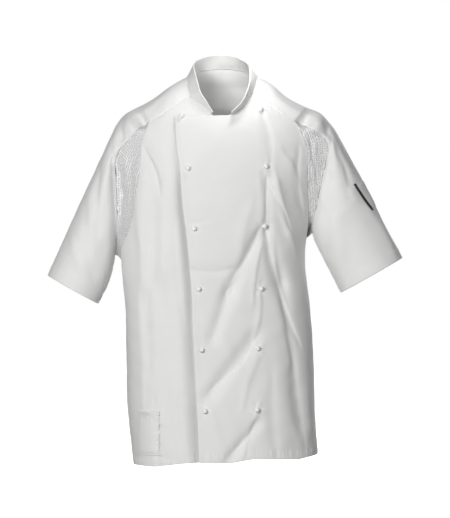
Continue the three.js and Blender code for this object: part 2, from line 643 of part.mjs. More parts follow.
// The collar: a band that rises from the neck seam by its lean.
function collarGrid() {
  const base = neckSeam();
  const leaning = base.map((point) => {
    const turn = degrees(Math.atan2(point.x - COLLAR_CENTRE.x, COLLAR_CENTRE.y - point.y));
    const lean = ['x', 'y', 'z'].map((axis) => columnAt(COLLAR_LEAN, 'turn', turn, axis));
    return point.clone().add(new THREE.Vector3(...lean));
  });
  const rim = smoothLine(leaning, base, RIM_SMOOTH);
  return base.map((point, i) => {
    const line = [];
    for (let j = 0; j <= STEPS_COLLAR; j += 1) {
      line.push(point.clone().lerp(rim[i], mix(COLLAR_FOOT, 1, j / STEPS_COLLAR)));
    }
    return line;
  });
}

// A patch that lies on a front, made from the front's own points.
function pocketGrid() {
  const grid = [];
  const { columns, rows } = POCKET_GRID;
  for (let i = 0; i <= columns; i += 1) {
    const x = mix(HIP_POCKET.left, HIP_POCKET.right, i / columns);
    const line = [];
    for (let j = 0; j <= rows; j += 1) {
      const z = mix(HIP_POCKET.bottom, HIP_POCKET.top, j / rows);
      line.push(bodyPoint(angleAt(x, z, 1), z));
    }
    grid.push(line);
  }
  return grid;
}

// A patch on the left sleeve, from the sleeve's own points, between two lines that are
// given in degrees round from the ridge at the patch's upper and lower end.
function sleevePatch(highLine, lowLine, { columns, rows }) {
  const last = SLEEVE_LEFT.length - 1;
  const grid = [];
  for (let i = 0; i <= columns; i += 1) {
    const t = i / columns;
    const at = last * mix(PEN_POCKET.alongStart, PEN_POCKET.alongEnd, t);
    const sweep = stationAt(SLEEVE_LEFT, at).sweep;
    const line = [];
    for (let j = 0; j <= rows; j += 1) {
      const round = mix(mix(lowLine[0], lowLine[1], t), mix(highLine[0], highLine[1], t), j / rows);
      line.push(sleevePoint(SLEEVE_LEFT, at, 1, round / sweep));
    }
    grid.push(line);
  }
  return grid;
}

// A stud: a ball on a short neck, standing on the overlap along its outward direction.
function studGeometry() {
  const profile = [new THREE.Vector2(0, 0), new THREE.Vector2(STUD_NECK, 0)];
  const startAngle = Math.asin(STUD_NECK / STUD_RADIUS);
  for (let i = 0; i < STEPS_STUD.up; i += 1) {
    const a = mix(Math.PI - startAngle, 0, i / STEPS_STUD.up);
    profile.push(new THREE.Vector2(STUD_RADIUS * Math.sin(a), STUD_RISE + STUD_RADIUS * Math.cos(a)));
  }
  profile.push(new THREE.Vector2(0, STUD_RISE + STUD_RADIUS));
  return new THREE.LatheGeometry(profile, STEPS_STUD.round);
}

const IN_FRONT = -1000;       // well before the jacket
// The place on a piece's facets, seen from the front, that has a given x and z, with the
// outward direction of the facet there.
function onPiece({ grid, normals, thickness }, x, z) {
  const outer = (i, j) => grid[i][j].clone().addScaledVector(normals[i][j], thickness / 2);
  for (let i = 0; i < grid.length - 1; i += 1) {
    for (let j = 0; j < grid[0].length - 1; j += 1) {
      const corners = [outer(i, j), outer(i + 1, j), outer(i + 1, j + 1), outer(i, j + 1)];
      for (const [a, b, c] of [[0, 1, 2], [0, 2, 3]]) {
        const facet = new THREE.Triangle(corners[a], corners[b], corners[c]);
        const normal = facet.getNormal(new THREE.Vector3());
        const from = new THREE.Vector3(x, IN_FRONT, z);
        const ray = new THREE.Ray(from, new THREE.Vector3(0, 1, 0));
        const hit = ray.intersectTriangle(facet.a, facet.b, facet.c, false, new THREE.Vector3());
        if (hit && normal.y < 0) return { point: hit, normal };
      }
    }
  }
  throw new Error(`nothing at ${x}, ${z}`);
}

const material = (color, roughness) => new THREE.MeshStandardMaterial({ color, roughness, metalness: 0 });
const jacket = new THREE.Group();
function addMesh(name, geometry, finish) {
  const mesh = new THREE.Mesh(geometry, finish);
  mesh.name = name;
  jacket.add(mesh);
  return mesh;
}

const cotton = material(COTTON, 0.85);
const net = material(NET_WHITE, 0.8);
const tapeBlack = material(BLACK_TAPE, 0.7);
const patchLift = CLOTH + PATCH_GAP;

const acrossOf = (grid) => grid.map((line) => [...line].reverse());
const rightColumns = frontGrid(NECK_RIGHT, SLEEVE_RIGHT, EDGE_RIGHT, -1, underPoint).reverse();
const leftColumns = frontGrid(NECK_LEFT, SLEEVE_LEFT, EDGE_LEFT, 1, bodyPoint);
const overlap = clothPiece('front_left', leftColumns, CLOTH, cotton);
const cottonSewn = [
  { piece: clothPiece('front_right', rightColumns, CLOTH, cotton), seams: ['start', 'high'] },
  { piece: overlap, seams: ['end', 'high'] },
  { piece: clothPiece('back', backGrid().reverse(), CLOTH, cotton), seams: ['start', 'end', 'high'] },
];
for (const [name, grid] of [
  ['sleeve_right', acrossOf(sleeveGrid(SLEEVE_RIGHT))],
  ['sleeve_left', sleeveGrid(SLEEVE_LEFT)],
]) {
  cottonSewn.push({ piece: clothPiece(name, grid, CLOTH, cotton), seams: ['low', 'high'] });
}
const netSewn = [
  ['gusset_right', acrossOf(gussetGrid(SLEEVE_RIGHT))],
  ['gusset_left', gussetGrid(SLEEVE_LEFT)],
].map(([name, grid]) => ({ piece: clothPiece(name, grid, NET, net), seams: ['low', 'high'], gap: NET_GAP }));
const sewn = [...cottonSewn, ...netSewn];
shareSeams(sewn.map(({ piece }) => piece));
for (const { piece, seams, gap = SEAM_GAP } of sewn) {
  openSeams(piece, seams, gap);
  addMesh(piece.name, wallGeometry(piece), piece.finish);
}

const mouth = [PEN_POCKET.mouthStart, PEN_POCKET.mouthEnd];
const beyond = (turn) => mouth.map((value) => value + turn);
const penGrid = sleevePatch([PEN_POCKET.ridge, PEN_POCKET.ridge], mouth, PEN_GRID);
const tapeGrid = sleevePatch(beyond(TAPE.clear), beyond(TAPE.clear + TAPE.wide), TAPE_GRID);
for (const [piece, lift] of [
  [clothPiece('collar', collarGrid().reverse(), CLOTH, cotton), 0],
  [clothPiece('hip_pocket', pocketGrid(), CLOTH, cotton), patchLift],
  [clothPiece('pen_pocket', penGrid, CLOTH, cotton), patchLift],
  [clothPiece('pen_binding', tapeGrid, CLOTH, tapeBlack), patchLift],
]) {
  addMesh(piece.name, wallGeometry(piece, lift), piece.finish);
}

for (const [name, studs] of [['left', STUDS_LEFT], ['right', STUDS_RIGHT]]) {
  studs.forEach((place, index) => {
    const mesh = addMesh(`stud_${name}_${index + 1}`, studGeometry(), material(STUD_WHITE, 0.4));
    const { point, normal } = onPiece(overlap, place.x, place.z);
    mesh.position.copy(point.addScaledVector(normal, STUD_GAP));
    mesh.quaternion.setFromUnitVectors(new THREE.Vector3(0, 1, 0), normal);
  });
}

export default jacket;
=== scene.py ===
"""A short-sleeved double-breasted chef jacket in the shape of its wearer, dressed in cloth.

Sizes in the tables and functions are millimetres, meshes are metres. +Z is up and the
front faces -Y. Every cloth piece is a surface of two parameters over the same rings and
sleeve stations as its solid, with folds, seams and hems pressed into it.
"""

import bpy
import numpy as np
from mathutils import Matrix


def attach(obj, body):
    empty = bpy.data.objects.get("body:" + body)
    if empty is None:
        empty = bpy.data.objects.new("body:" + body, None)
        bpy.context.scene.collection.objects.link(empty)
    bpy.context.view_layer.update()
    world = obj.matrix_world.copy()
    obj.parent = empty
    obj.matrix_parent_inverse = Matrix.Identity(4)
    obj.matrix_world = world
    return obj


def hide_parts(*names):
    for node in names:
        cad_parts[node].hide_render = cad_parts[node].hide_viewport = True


bl_info = {
    "name": "Chef jacket",
    "version": (1, 0, 0),
    "blender": (4, 5, 0),
    "location": "3D View > Sidebar > Jacket",
    "description": "Builds a worn chef jacket, piece by piece, over its solid frame",
    "category": "Object",
}

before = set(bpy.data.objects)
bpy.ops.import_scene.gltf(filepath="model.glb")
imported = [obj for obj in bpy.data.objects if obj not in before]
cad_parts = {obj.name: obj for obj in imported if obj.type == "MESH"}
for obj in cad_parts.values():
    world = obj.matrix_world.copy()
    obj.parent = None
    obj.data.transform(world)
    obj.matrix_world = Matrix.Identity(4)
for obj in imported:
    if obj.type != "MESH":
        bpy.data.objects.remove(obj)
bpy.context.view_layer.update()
MM = 0.001

# The figure inside, ring by ring: height, left, right, mid depth, front, back, exponent of
# the ring, and the slope by which the far side recedes.
RINGS = np.array([
    (34, -62, 52, 6, 24, 60, 2.0, 0), (6, -84, 76, 5, 34, 74, 2.0, 0),
    (-14, -108, 100, 4, 44, 86, 2.0, 0), (-34, -134, 124, 3, 55, 95, 2.05, 0),
    (-54, -168, 160, 2, 68, 103, 2.1, 0), (-74, -202, 198, 1, 80, 110, 2.15, 0.01),
    (-104, -214, 212, 0, 97, 117, 2.25, 0.03), (-150, -206, 200, 0, 111, 122, 2.35, 0.05),
    (-210, -200, 184, 0, 122, 124, 2.4, 0.08), (-300, -206, 167, 0, 129, 120, 2.4, 0.1),
    (-364, -204, 162, 0, 129, 115, 2.4, 0.1), (-450, -197, 172, 0, 127, 112, 2.35, 0.1),
    (-560, -194, 179, 0, 126, 113, 2.3, 0.08), (-660, -191, 182, 0, 127, 118, 2.3, 0.07),
    (-780, -178, 189, 0, 129, 124, 2.3, 0.06),
])

# Stations of each sleeve, neck to cuff: the arm's top line (x, z), the sleeve's seam (x, z),
# the body's seam (x, z), sweep in degrees from top line to seam, half depth, back lift.
SLEEVE_RIGHT = np.array([
    (-74, 6, -68, -34, -68, -34, 55, 0, 54), (-106, -12, -104, -56, -104, -56, 55, 0, 28),
    (-138, -36, -128, -74, -128, -74, 58, 0, 12), (-166, -52, -148, -86, -148, -86, 62, 0, 2),
    (-196, -68, -171, -101, -153, -100, 84, 72, 0), (-214, -88, -190, -122, -161, -122, 98, 67, 0),
    (-226, -112, -208, -142, -164, -146, 110, 65, 0), (-243, -150, -216, -170, -166, -178, 124, 66, 0),
    (-262, -192, -214, -216, -172, -222, 138, 68, 0), (-286, -244, -213, -284, -182, -286, 150, 70, 0),
    (-312, -302, -218, -350, -204, -362, 180, 70, 0), (-332, -346, -230, -402, -204, -362, 180, 69, 0),
    (-352, -390, -252, -446, -204, -362, 180, 68, 0),
])
SLEEVE_LEFT = np.array([
    (66, 6, 58, -28, 58, -28, 55, 0, 48), (98, -12, 82, -46, 82, -46, 55, 0, 26),
    (128, -37, 108, -65, 108, -65, 58, 0, 11), (162, -54, 140, -84, 140, -84, 62, 0, 2),
    (192, -67, 171, -98, 152, -104, 84, 71, 0), (210, -86, 194, -113, 159, -120, 98, 66, 0),
    (226, -108, 206, -128, 165, -138, 110, 63, 0), (244, -140, 206, -154, 166, -166, 124, 62, 0),
    (262, -174, 197, -196, 166, -206, 138, 61, 0), (278, -204, 186, -250, 168, -256, 155, 61, 0),
    (293, -233, 178, -306, 167, -318, 180, 61, 0), (322, -290, 198, -354, 167, -318, 180, 60, 0),
    (356, -355, 234, -424, 167, -318, 180, 60, 0),
])
TIP, UNDERARM, CUFF = 3, 10, 12
BACK_FULL, BACK_FULL_END = 12.0, 8.0    # extra depth behind the arm, and the station it ends at
RIM_SMOOTH = 28.0           # reach of the weights that smooth the collar's rim
SIDE_SEAM = 97.0            # degrees round from the middle of the front
SEWN_REACH = 12.0           # creases fade over this distance from a sewn edge
RIDGE_SET, RIDGE_LEVEL = 7.0, 6.0       # y of the arm's top line at the neck, station where it is 0
LIFT_RUN = 1 / 3            # a lifted seam moves this much of its lift to the centre
HEM_EVEN, COLUMN_BEND = 0.45, 1.5       # columns at the hem: 0 even, 1 as at the top; their bend
FOLD_FADE = 1.6             # fade past a fold's ends, in fold widths
FOLD_FACING = 2.2           # folds keep their full push until the ring turns this far away
UNDER_FLAT = 3.0            # folds go flat a third of the way under the overlap
DENT_END, DENT_FADE = 0.2, 8.0          # how far past a dent's ends it is followed, and its fade
RAGLAN_STEPS, SEAM_STEPS, NECK_STEPS = 4, 14, 6
# Least side of a sheet, in metres, to which each piece's worked-out sizes are floored; they are not used
# further.
# Only the binding is narrower: it shows 0.0066 of tape and is floored to this.
SHEET_LEAST = 0.0102

# Neckline of each front from the raglan seam to its top corner, and each front edge.
NECK_RIGHT = np.array([(-68, -34), (-56, -42), (-40, -55), (-26, -70), (-8, -80), (30, -81), (76, -81)])
NECK_LEFT = np.array([(58, -28), (51, -36), (40, -52), (14, -72), (-4, -74), (-50, -75), (-95.5, -72.5)])
EDGE_LEFT = np.array([
    (-72, -97), (-100, -95.6), (-148, -91.4), (-174, -87), (-208, -84.6), (-262, -79.6), (-304, -74),
    (-360, -68.4), (-430, -63), (-490, -61.4), (-578, -56.8), (-668, -52.2), (-760, -48),
])
EDGE_RIGHT = np.array([(-80, 78), (-400, 82), (-748, 70)])
HEM = np.array([
    (-180, -766), (-138, -768), (-82, -761), (-48, -759), (14, -760), (60, -752), (150, -754), (192, -746),
])
HEM_BACK = -762.0
NECK_BACK = 26.0
SHOULDER_Z, SHOULDER_HALF = -74.0, 200.0
DIP, DIP_START, DIP_TOP, DIP_LENGTH = 12.0, 34.0, 34.0, 60.0

# Large folds, shared with the solids: two ends (x, z), width, push, front 1 or back -1.
FOLDS = np.array([
    (66, -318, 10, -424, 13, -7, 1), (10, -424, -20, -508, 13, -7, 1), (53, -518, -28, -626, 14, -7, 1),
    (60, -690, 12, -752, 11, -6, 1), (106, -214, 132, -306, 11, 5, 1), (86, -306, 112, -406, 13, -6, 1),
    (112, -406, 152, -674, 15, -7, 1), (84, -210, 86, -290, 9, -4, 1), (-60, -382, 12, -380, 11, -2.5, 1),
    (-156, -148, -128, -216, 11, -4, 1), (-140, -220, -140, -400, 12, -4, 1),
    (-163, -200, -163, -400, 10, 4, 1), (-118, -420, -108, -640, 15, -3, 1),
    (-120, -130, -70, -300, 14, -5, -1), (112, -130, 64, -310, 14, -5, -1),
    (-20, -60, -24, -220, 16, -4, -1), (-90, -380, -60, -700, 18, -6, -1),
    (70, -360, 92, -690, 18, -6, -1), (10, -420, 4, -740, 20, 5, -1),
])
# Soft dents of the sleeves: start along and round, end along and round, width, push.
SLEEVE_FOLDS = np.array([
    (0.45, 70, 0.72, 60, 0.05, -4), (0.5, 30, 0.85, 22, 0.05, -3),
    (0.48, -60, 0.8, -50, 0.05, -4), (0.62, 120, 0.8, 100, 0.05, -3),
])
# Creases: two ends (x, z), bow of the line, width, skew, push, side.
CREASES = np.array([
    # wearer's left front, from the studs down to the hem
    (88, -206, 128, -292, -4, 5, 0.5, -3.0, 1), (104, -196, 138, -330, 4, 7, 0.3, 2.2, 1),
    (86, -200, 84, -296, 2, 3, 0.4, -1.6, 1), (70, -210, 74, -300, -5, 8, 0.0, 1.2, 1),
    (52, -260, 34, -350, 6, 12, 0.2, 1.6, 1), (84, -300, 148, -520, 10, 7, 0.5, -2.6, 1),
    (98, -330, 128, -560, 5, 9, 0.2, 2.2, 1), (138, -560, 160, -720, 4, 10, 0.3, -2.0, 1),
    (74, -330, 58, -440, 4, 6, 0.4, 1.8, 1), (70, -300, 22, -390, -6, 6, 0.6, -2.6, 1),
    (72, -430, 58, -520, -4, 6, 0.3, 1.5, 1), (60, -520, -18, -610, -8, 6, 0.5, -2.4, 1),
    (70, -550, 40, -640, 6, 9, 0.2, 1.6, 1), (66, -660, 40, -740, 4, 7, 0.4, 1.8, 1),
    (58, -688, 18, -740, -5, 5, 0.5, -2.0, 1), (96, -600, 104, -740, 4, 12, 0.1, -1.8, 1),
    (-66, -378, 16, -376, 7, 5, 0.3, -1.6, 1), (-70, -286, -30, -280, 3, 4, 0.0, -0.9, 1),
    (-40, -470, 20, -560, -6, 14, 0.0, 1.2, 1), (-30, -640, 0, -730, 5, 12, 0.2, 1.4, 1),
    (80, -80, 92, -168, -6, 9, 0.3, -1.8, 1), (118, -150, 150, -220, -6, 9, 0.3, 1.8, 1),
    (150, -150, 156, -260, 6, 8, 0.4, -2.4, 1), (60, -90, 10, -110, 4, 12, 0.1, 0.9, 1),
    # wearer's right front
    (-152, -150, -126, -224, -5, 6, 0.5, -2.6, 1), (-170, -180, -166, -330, 3, 8, 0.2, 1.8, 1),
    (-120, -250, -110, -420, 4, 8, 0.3, 1.2, 1), (-98, -300, -82, -470, 3, 8, 0.2, -1.6, 1),
    (-148, -330, -146, -560, 4, 9, 0.2, -1.4, 1), (-168, -440, -160, -640, -3, 9, 0.2, 1.6, 1),
    (-110, -520, -92, -700, 4, 10, 0.2, 1.2, 1), (-136, -640, -130, -750, 0, 6, 0.2, -1.2, 1),
    (-92, -640, -74, -752, 3, 8, 0.3, -1.4, 1), (-60, -44, -36, -68, 2, 3, 0.2, -1.4, 1),
    (-70, -38, -52, -70, 2, 3, 0.2, -1.2, 1), (-80, -56, -120, -100, 5, 8, 0.1, -1.0, 1),
    # sleeves, front
    (-204, -98, -220, -160, -8, 8, 0.4, -3.2, 1), (-222, -150, -214, -300, -10, 8, 0.4, -3.4, 1),
    (-246, -170, -250, -310, 4, 7, 0.3, -2.4, 1), (-232, -190, -230, -330, 0, 9, 0.2, 2.2, 1),
    (-276, -250, -262, -380, 4, 9, 0.2, -1.8, 1), (-300, -320, -268, -400, 6, 9, 0.2, 1.6, 1),
    (-226, -310, -258, -400, 5, 7, 0.3, -1.6, 1), (-130, -40, -176, -72, -4, 8, 0.3, 1.6, 1),
    (206, -84, 202, -160, -6, 7, 0.4, -3.4, 1), (214, -96, 212, -190, 5, 5, 0.4, 2.6, 1),
    (228, -150, 250, -230, -6, 6, 0.4, -2.2, 1), (236, -170, 262, -236, 5, 5, 0.2, 1.6, 1),
    (206, -190, 196, -330, 6, 9, 0.3, 2.6, 1), (190, -240, 204, -350, -6, 7, 0.3, -2.4, 1),
    (296, -270, 336, -340, -6, 9, 0.3, 2.4, 1), (250, -330, 262, -410, 5, 10, 0.2, -1.8, 1),
    (226, -260, 240, -400, 4, 14, 0.0, 1.8, 1), (110, -40, 172, -72, 5, 8, 0.3, 1.4, 1),
    # net under the arms
    (-210, -170, -202, -240, 3, 4, 0.4, -3.0, 1), (-196, -150, -188, -240, 0, 5, 0.2, 2.2, 1),
    (170, -112, 184, -190, 0, 4, 0.4, -3.2, 1), (182, -130, 180, -200, 2, 5, 0.2, 2.6, 1),
    # back
    (-160, -150, -70, -330, 14, 12, 0.4, -3.0, -1), (-150, -190, -110, -330, 8, 12, 0.3, 2.6, -1),
    (152, -150, 60, -340, -14, 12, 0.4, -3.0, -1), (140, -190, 104, -340, -8, 12, 0.3, 2.4, -1),
    (-60, -30, -20, -120, 6, 9, 0.2, -1.6, -1), (58, -24, 22, -120, -6, 9, 0.2, -1.6, -1),
    (-120, -330, -76, -560, 8, 12, 0.3, -2.4, -1), (108, -330, 84, -600, -8, 12, 0.3, -2.4, -1),
    (-36, -300, -40, -660, 6, 16, 0.1, 2.2, -1), (46, -360, 40, -730, -6, 14, 0.1, 2.0, -1),
    (-130, -560, -120, -740, 4, 11, 0.2, 2.0, -1), (136, -520, 140, -730, -4, 11, 0.2, 2.2, -1),
    (-10, -110, -8, -380, 4, 16, 0.0, -1.8, -1), (-60, -640, -70, -750, 0, 9, 0.3, -2.2, -1),
    (20, -600, 22, -750, 0, 10, 0.2, -2.2, -1), (-90, -60, 90, -62, -8, 12, 0.2, -1.2, -1),
    (-232, -120, -216, -260, -8, 9, 0.3, -2.8, -1), (-262, -200, -250, -340, 5, 9, 0.2, 2.2, -1),
    (-290, -300, -258, -400, 5, 9, 0.2, -1.8, -1), (230, -116, 204, -240, 8, 9, 0.3, -2.8, -1),
    (262, -190, 240, -330, -5, 9, 0.2, 2.2, -1), (300, -270, 290, -390, 5, 10, 0.2, -1.8, -1),
])

# Rim of the stand collar: direction round the neck in degrees, lean from its seam (x, y, z).
COLLAR_LEAN = np.array([
    (-180, -2, -18, 28), (-125, 5, -19, 26), (-90, 11, -19, 21), (-55, 18, -22, 10), (-35, 10, -18, 8),
    (-15, 3, -6, 4), (10, 2, -24, 5), (40, -5, -27, 7), (62, -9, -26, 12), (90, -15, -20, 18),
    (135, -7, -19, 26), (180, -2, -18, 28),
])

STUDS_LEFT = np.array([(-84, -76.5), (-71, -179.5), (-59, -298), (-50, -417), (-44, -537), (-37.5, -658.5)])
STUDS_RIGHT = np.array([(72, -63.5), (82, -175), (77.5, -292), (72, -416.5), (66, -535), (64, -656)])
HIP_POCKET = {"left": -172.0, "right": -128.0, "top": -659.0, "bottom": -746.0}
PEN_POCKET = {"start": 0.745, "end": 0.865, "ridge": 5.0, "mouth_start": 48.0, "mouth_end": 32.0, "tape": 4.0}

# Stage, in metres: the camera's distance, the frame's height and middle (x, z) at the jacket,
# the floor, the white air's light, and the lamps: name, place, aim, size and watts.
CAMERA_OFF, FRAME_TALL, FRAME_MIDDLE = 9.0, 1.036, (0.002, -0.358)
FLOOR_RADIUS, FLOOR_LEVEL = 30.0, -0.83
AIR_LIGHT = 0.17
LIGHTS = (
    ("key", (-1.15, -3.15, 0.3), (0, 0, -0.4), 1.0, 75.0),
    ("fill", (1.7, -2.9, -0.3), (0, 0, -0.4), 1.8, 14.0),
    ("neck", (0.05, -0.12, 0.11), (-0.02, 0.06, -0.02), 0.1, 0.26),
    ("rear", (1.2, 3.2, 0.8), (0, 0, -0.4), 1.6, 70.0),
)


def linear(hex_colour):
    """sRGB hex to linear RGBA: c / 12.92 below 0.04045, else ((c + 0.055) / 1.055) ** 2.4."""
    value = np.array([int(hex_colour[i:i + 2], 16) for i in (1, 3, 5)]) / 255
    rgb = np.where(value <= 0.04045, value / 12.92, ((value + 0.055) / 1.055) ** 2.4)
    return (*(float(c) for c in rgb), 1.0)


# ---- sizes and colours a user may change

def length(name, description, default):
    """A length property in metres."""
    return bpy.props.FloatProperty(name=name, description=description, default=default, unit="LENGTH")


def colour(name, description, default):
    """A colour property from an sRGB hex value."""
    return bpy.props.FloatVectorProperty(
        name=name, description=description, default=linear(default), size=4, subtype="COLOR", min=0, max=1)


class JacketSizes(bpy.types.PropertyGroup):
    """Sizes of the jacket's cloth, seams and fittings."""
    cloth: length("Cloth", "Thickness of the twill", 0.0011)
    net: length("Net", "Thickness of the warp-knit net", 0.0009)
    collar: length("Collar", "Thickness of the interlined collar band", 0.0019)
    step: length("Step", "Spacing of the surface grid", 0.0032)
    hem: length("Hem", "Depth of the turned lower hem", 0.011)
    cuff: length("Cuff hem", "Depth of the turned sleeve hem", 0.020)
    facing: length("Edge stitch", "Distance of the stitched line from the overlap's edge", 0.006)
    stitch: length("Stitch", "Length of one stitch", 0.0026)
    thread: length("Thread", "Radius of the sewing thread", 0.00028)
    stud: length("Stud", "Radius of a ball stud", 0.0052)
    twill_pitch: length("Twill pitch", "Spacing of the twill lines", 0.0009)
    net_pitch: length("Net pitch", "Spacing of the holes in the net, drawn coarser than real ones", 0.0050)


class JacketColours(bpy.types.PropertyGroup):
    """Colours of the jacket's materials and of the stage."""
    cotton: colour("Cotton", "White cotton twill", "#EDEDEC")
    net: colour("Net", "White polyester net", "#EAEAEA")
    hole: colour("Net hole", "The shade seen through the net's holes", "#C2C2C2")
    thread: colour("Thread", "White sewing thread", "#F2F2F0")
    stud: colour("Stud", "White moulded stud", "#F3F3F1")
    tape: colour("Tape", "Black woven binding tape", "#17181A")
    floor: colour("Floor", "Pale matt floor", "#F4F4F4")


def sizes():
    """The jacket's sizes."""
    return bpy.context.scene.jacket_sizes


def colours():
    """The jacket's colours."""
    return bpy.context.scene.jacket_colours


# ---- the figure and its surfaces

def mix(a, b, t):
    """Straight blend from a to b."""
    return a + (b - a) * t


def curve(keys, values, at):
    """Cubic through a table's rows, each row's slope being the chord of its two neighbours."""
    keys, at = np.asarray(keys, float), np.asarray(at, float)
    if keys[0] > keys[-1]:
        keys, at = -keys, -at
    last = len(keys) - 1
    i = np.clip(np.searchsorted(keys, at, side="left") - 1, 0, last - 1)
    before, after = np.maximum(i - 1, 0), np.minimum(i + 2, last)
    span = keys[i + 1] - keys[i]
    t = np.clip((at - keys[i]) / span, 0, 1)
    slope_in = (values[i + 1] - values[before]) / (keys[i + 1] - keys[before]) * span
    slope_out = (values[after] - values[i]) / (keys[after] - keys[i]) * span
    t2, t3 = t * t, t * t * t
    return ((2 * t3 - 3 * t2 + 1) * values[i] + (t3 - 2 * t2 + t) * slope_in
            + (3 * t2 - 2 * t3) * values[i + 1] + (t3 - t2) * slope_out)


def ease(t):
    """Smooth step from 0 to 1."""
    t = np.clip(t, 0, 1)
    return t * t * (3 - 2 * t)


def ring_at(z):
    """Centre, half width, mid, front, back, exponent and slope of the ring at a height."""
    left, right, mid, front, back, square, turn = (curve(RINGS[:, 0], RINGS[:, k], z) for k in range(1, 8))
    return (left + right) / 2, (right - left) / 2, mid, front, back, square, turn


def fold_push(x, z, side):
    """Sum of the large folds: each is a bell across its line, fading past its two ends."""
    push = np.zeros(np.broadcast(x, z).shape)
    for x1, z1, x2, z2, wide, depth, fold_side in FOLDS:
        dx, dz = x2 - x1, z2 - z1
        long = np.hypot(dx, dz)
        along = ((x - x1) * dx + (z - z1) * dz) / long
        across = ((x - x1) * dz - (z - z1) * dx) / long
        past = np.maximum(np.maximum(-along, along - long), 0) / (FOLD_FADE * wide)
        push += depth * np.exp(-(across / wide) ** 2 - past ** 2) * (side == fold_side)
    return push


def crease_push(x, z, side):
    """Sum of the creases: a bell across a bowed line, steeper on one flank, thin at the ends."""
    push = np.zeros(x.shape)
    for x1, z1, x2, z2, bow, wide, skew, depth, crease_side in CREASES:
        dx, dz = x2 - x1, z2 - z1
        long = np.hypot(dx, dz)
        along = ((x - x1) * dx + (z - z1) * dz) / long
        t = np.clip(along / long, 0, 1)
        across = ((x - x1) * dz - (z - z1) * dx) / long - 4 * bow * t * (1 - t)
        flank = wide * (1 + skew * np.sign(across)) * (0.65 + 1.4 * t * (1 - t))
        past = np.maximum(np.maximum(-along, along - long), 0) / (2.2 * wide)
        strength = 0.75 + 2.4 * t * (1 - t)
        push += depth * strength * np.exp(-(across / flank) ** 2 - past ** 2) * (side == crease_side)
    return push


def rumple(x, y, z, seed, wave, count=7):
    """Gentle unevenness: a seeded sum of cosines of about one wavelength in all directions."""
    rng = np.random.default_rng(seed)
    total = np.zeros(x.shape)
    for _ in range(count):
        direction = rng.normal(size=3)
        direction /= np.linalg.norm(direction)
        k = 2 * np.pi / (wave * rng.uniform(0.7, 1.5))
        total += np.cos(k * (direction[0] * x + direction[1] * y + direction[2] * z) + rng.uniform(0, 6.28))
    return total / np.sqrt(count)


def body_point(angle, z):
    """Superellipse ring at height z: x = centre + half sin a, depth (1 - |sin a|^n)^(1/n)."""
    angle, z = np.broadcast_arrays(np.asarray(angle, float), np.asarray(z, float))
    centre, half, mid, front, back, square, turn = ring_at(z)
    s, c = np.sin(np.radians(angle)), np.cos(np.radians(angle))
    side = np.where(c >= 0, 1, -1)
    depth = np.maximum(1 - np.abs(s) ** square, 0) ** (1 / square)
    x = centre + half * s
    y = mid - side * depth * np.where(side > 0, front, back) + turn * (x - centre)
    push = fold_push(x, z, side) * np.clip(np.abs(c) * FOLD_FACING, 0, 1)
    return np.stack([x, y - side * push, z], -1)


def covered(x, z):
    """How far a place of the under front is behind the overlap: 0 clear of it, 1 well under."""
    inside = (x - curve(EDGE_LEFT[:, 0], EDGE_LEFT[:, 1], z) + DIP_START) / DIP_LENGTH
    return ease(inside) * ease((NECK_LEFT[-1, 1] + DIP_TOP - z) / DIP_LENGTH)


def under_point(angle, z):
    """The under front: the figure, set back and without folds where the overlap covers it."""
    point = body_point(angle, z)
    cover = covered(point[..., 0], point[..., 2])
    flat = np.clip(cover * UNDER_FLAT, 0, 1)
    point[..., 1] += fold_push(point[..., 0], point[..., 2], 1) * flat + DIP * cover
    return point


def angle_at(x, z, side):
    """Angle round the ring whose front or back has this x."""
    centre, half = ring_at(z)[:2]
    angle = np.degrees(np.arcsin(np.clip((x - centre) / half, -1, 1)))
    return angle if side > 0 else np.where(angle < 0, -180, 180) - angle


def stretched(angle, ratio):
    """The same sine times a ratio, kept on its own side, front or back."""
    front = np.abs(angle) <= 90
    base = np.where(front, angle, np.sign(angle) * 180 - angle)
    turned = np.degrees(np.arcsin(np.clip(np.sin(np.radians(base)) * ratio, -1, 1)))
    return np.where(front, turned, np.sign(angle) * 180 - turned)


def place_of(angle, z):
    """Angle on a ring above the shoulder as a place on the steady shoulder ring."""
    return np.where(z <= SHOULDER_Z, angle, stretched(angle, ring_at(z)[1] / SHOULDER_HALF))


def angle_of(place, z):
    """The reverse of place_of."""
    return np.where(z <= SHOULDER_Z, place, stretched(place, SHOULDER_HALF / ring_at(z)[1]))


def station(table, at):
    """The nine columns of a sleeve table at a station number."""
    index = np.arange(len(table))
    return [curve(index, table[:, k], at) for k in range(table.shape[1])]


def seam_on_body(table, at, side):
    """Angle and height of the body's armhole seam at a station, closing on the side seam."""
    s = station(table, at)
    hand = np.sign(table[0, 2])
    raised = np.maximum(s[8], 0) if side < 0 else 0 * s[8]
    z = s[5] + raised
    near = angle_at(s[4] - hand * raised * LIFT_RUN, z, side)
    closing = np.clip(at - (UNDERARM - 1), 0, 1)
    return mix(near, hand * SIDE_SEAM, closing * closing), z


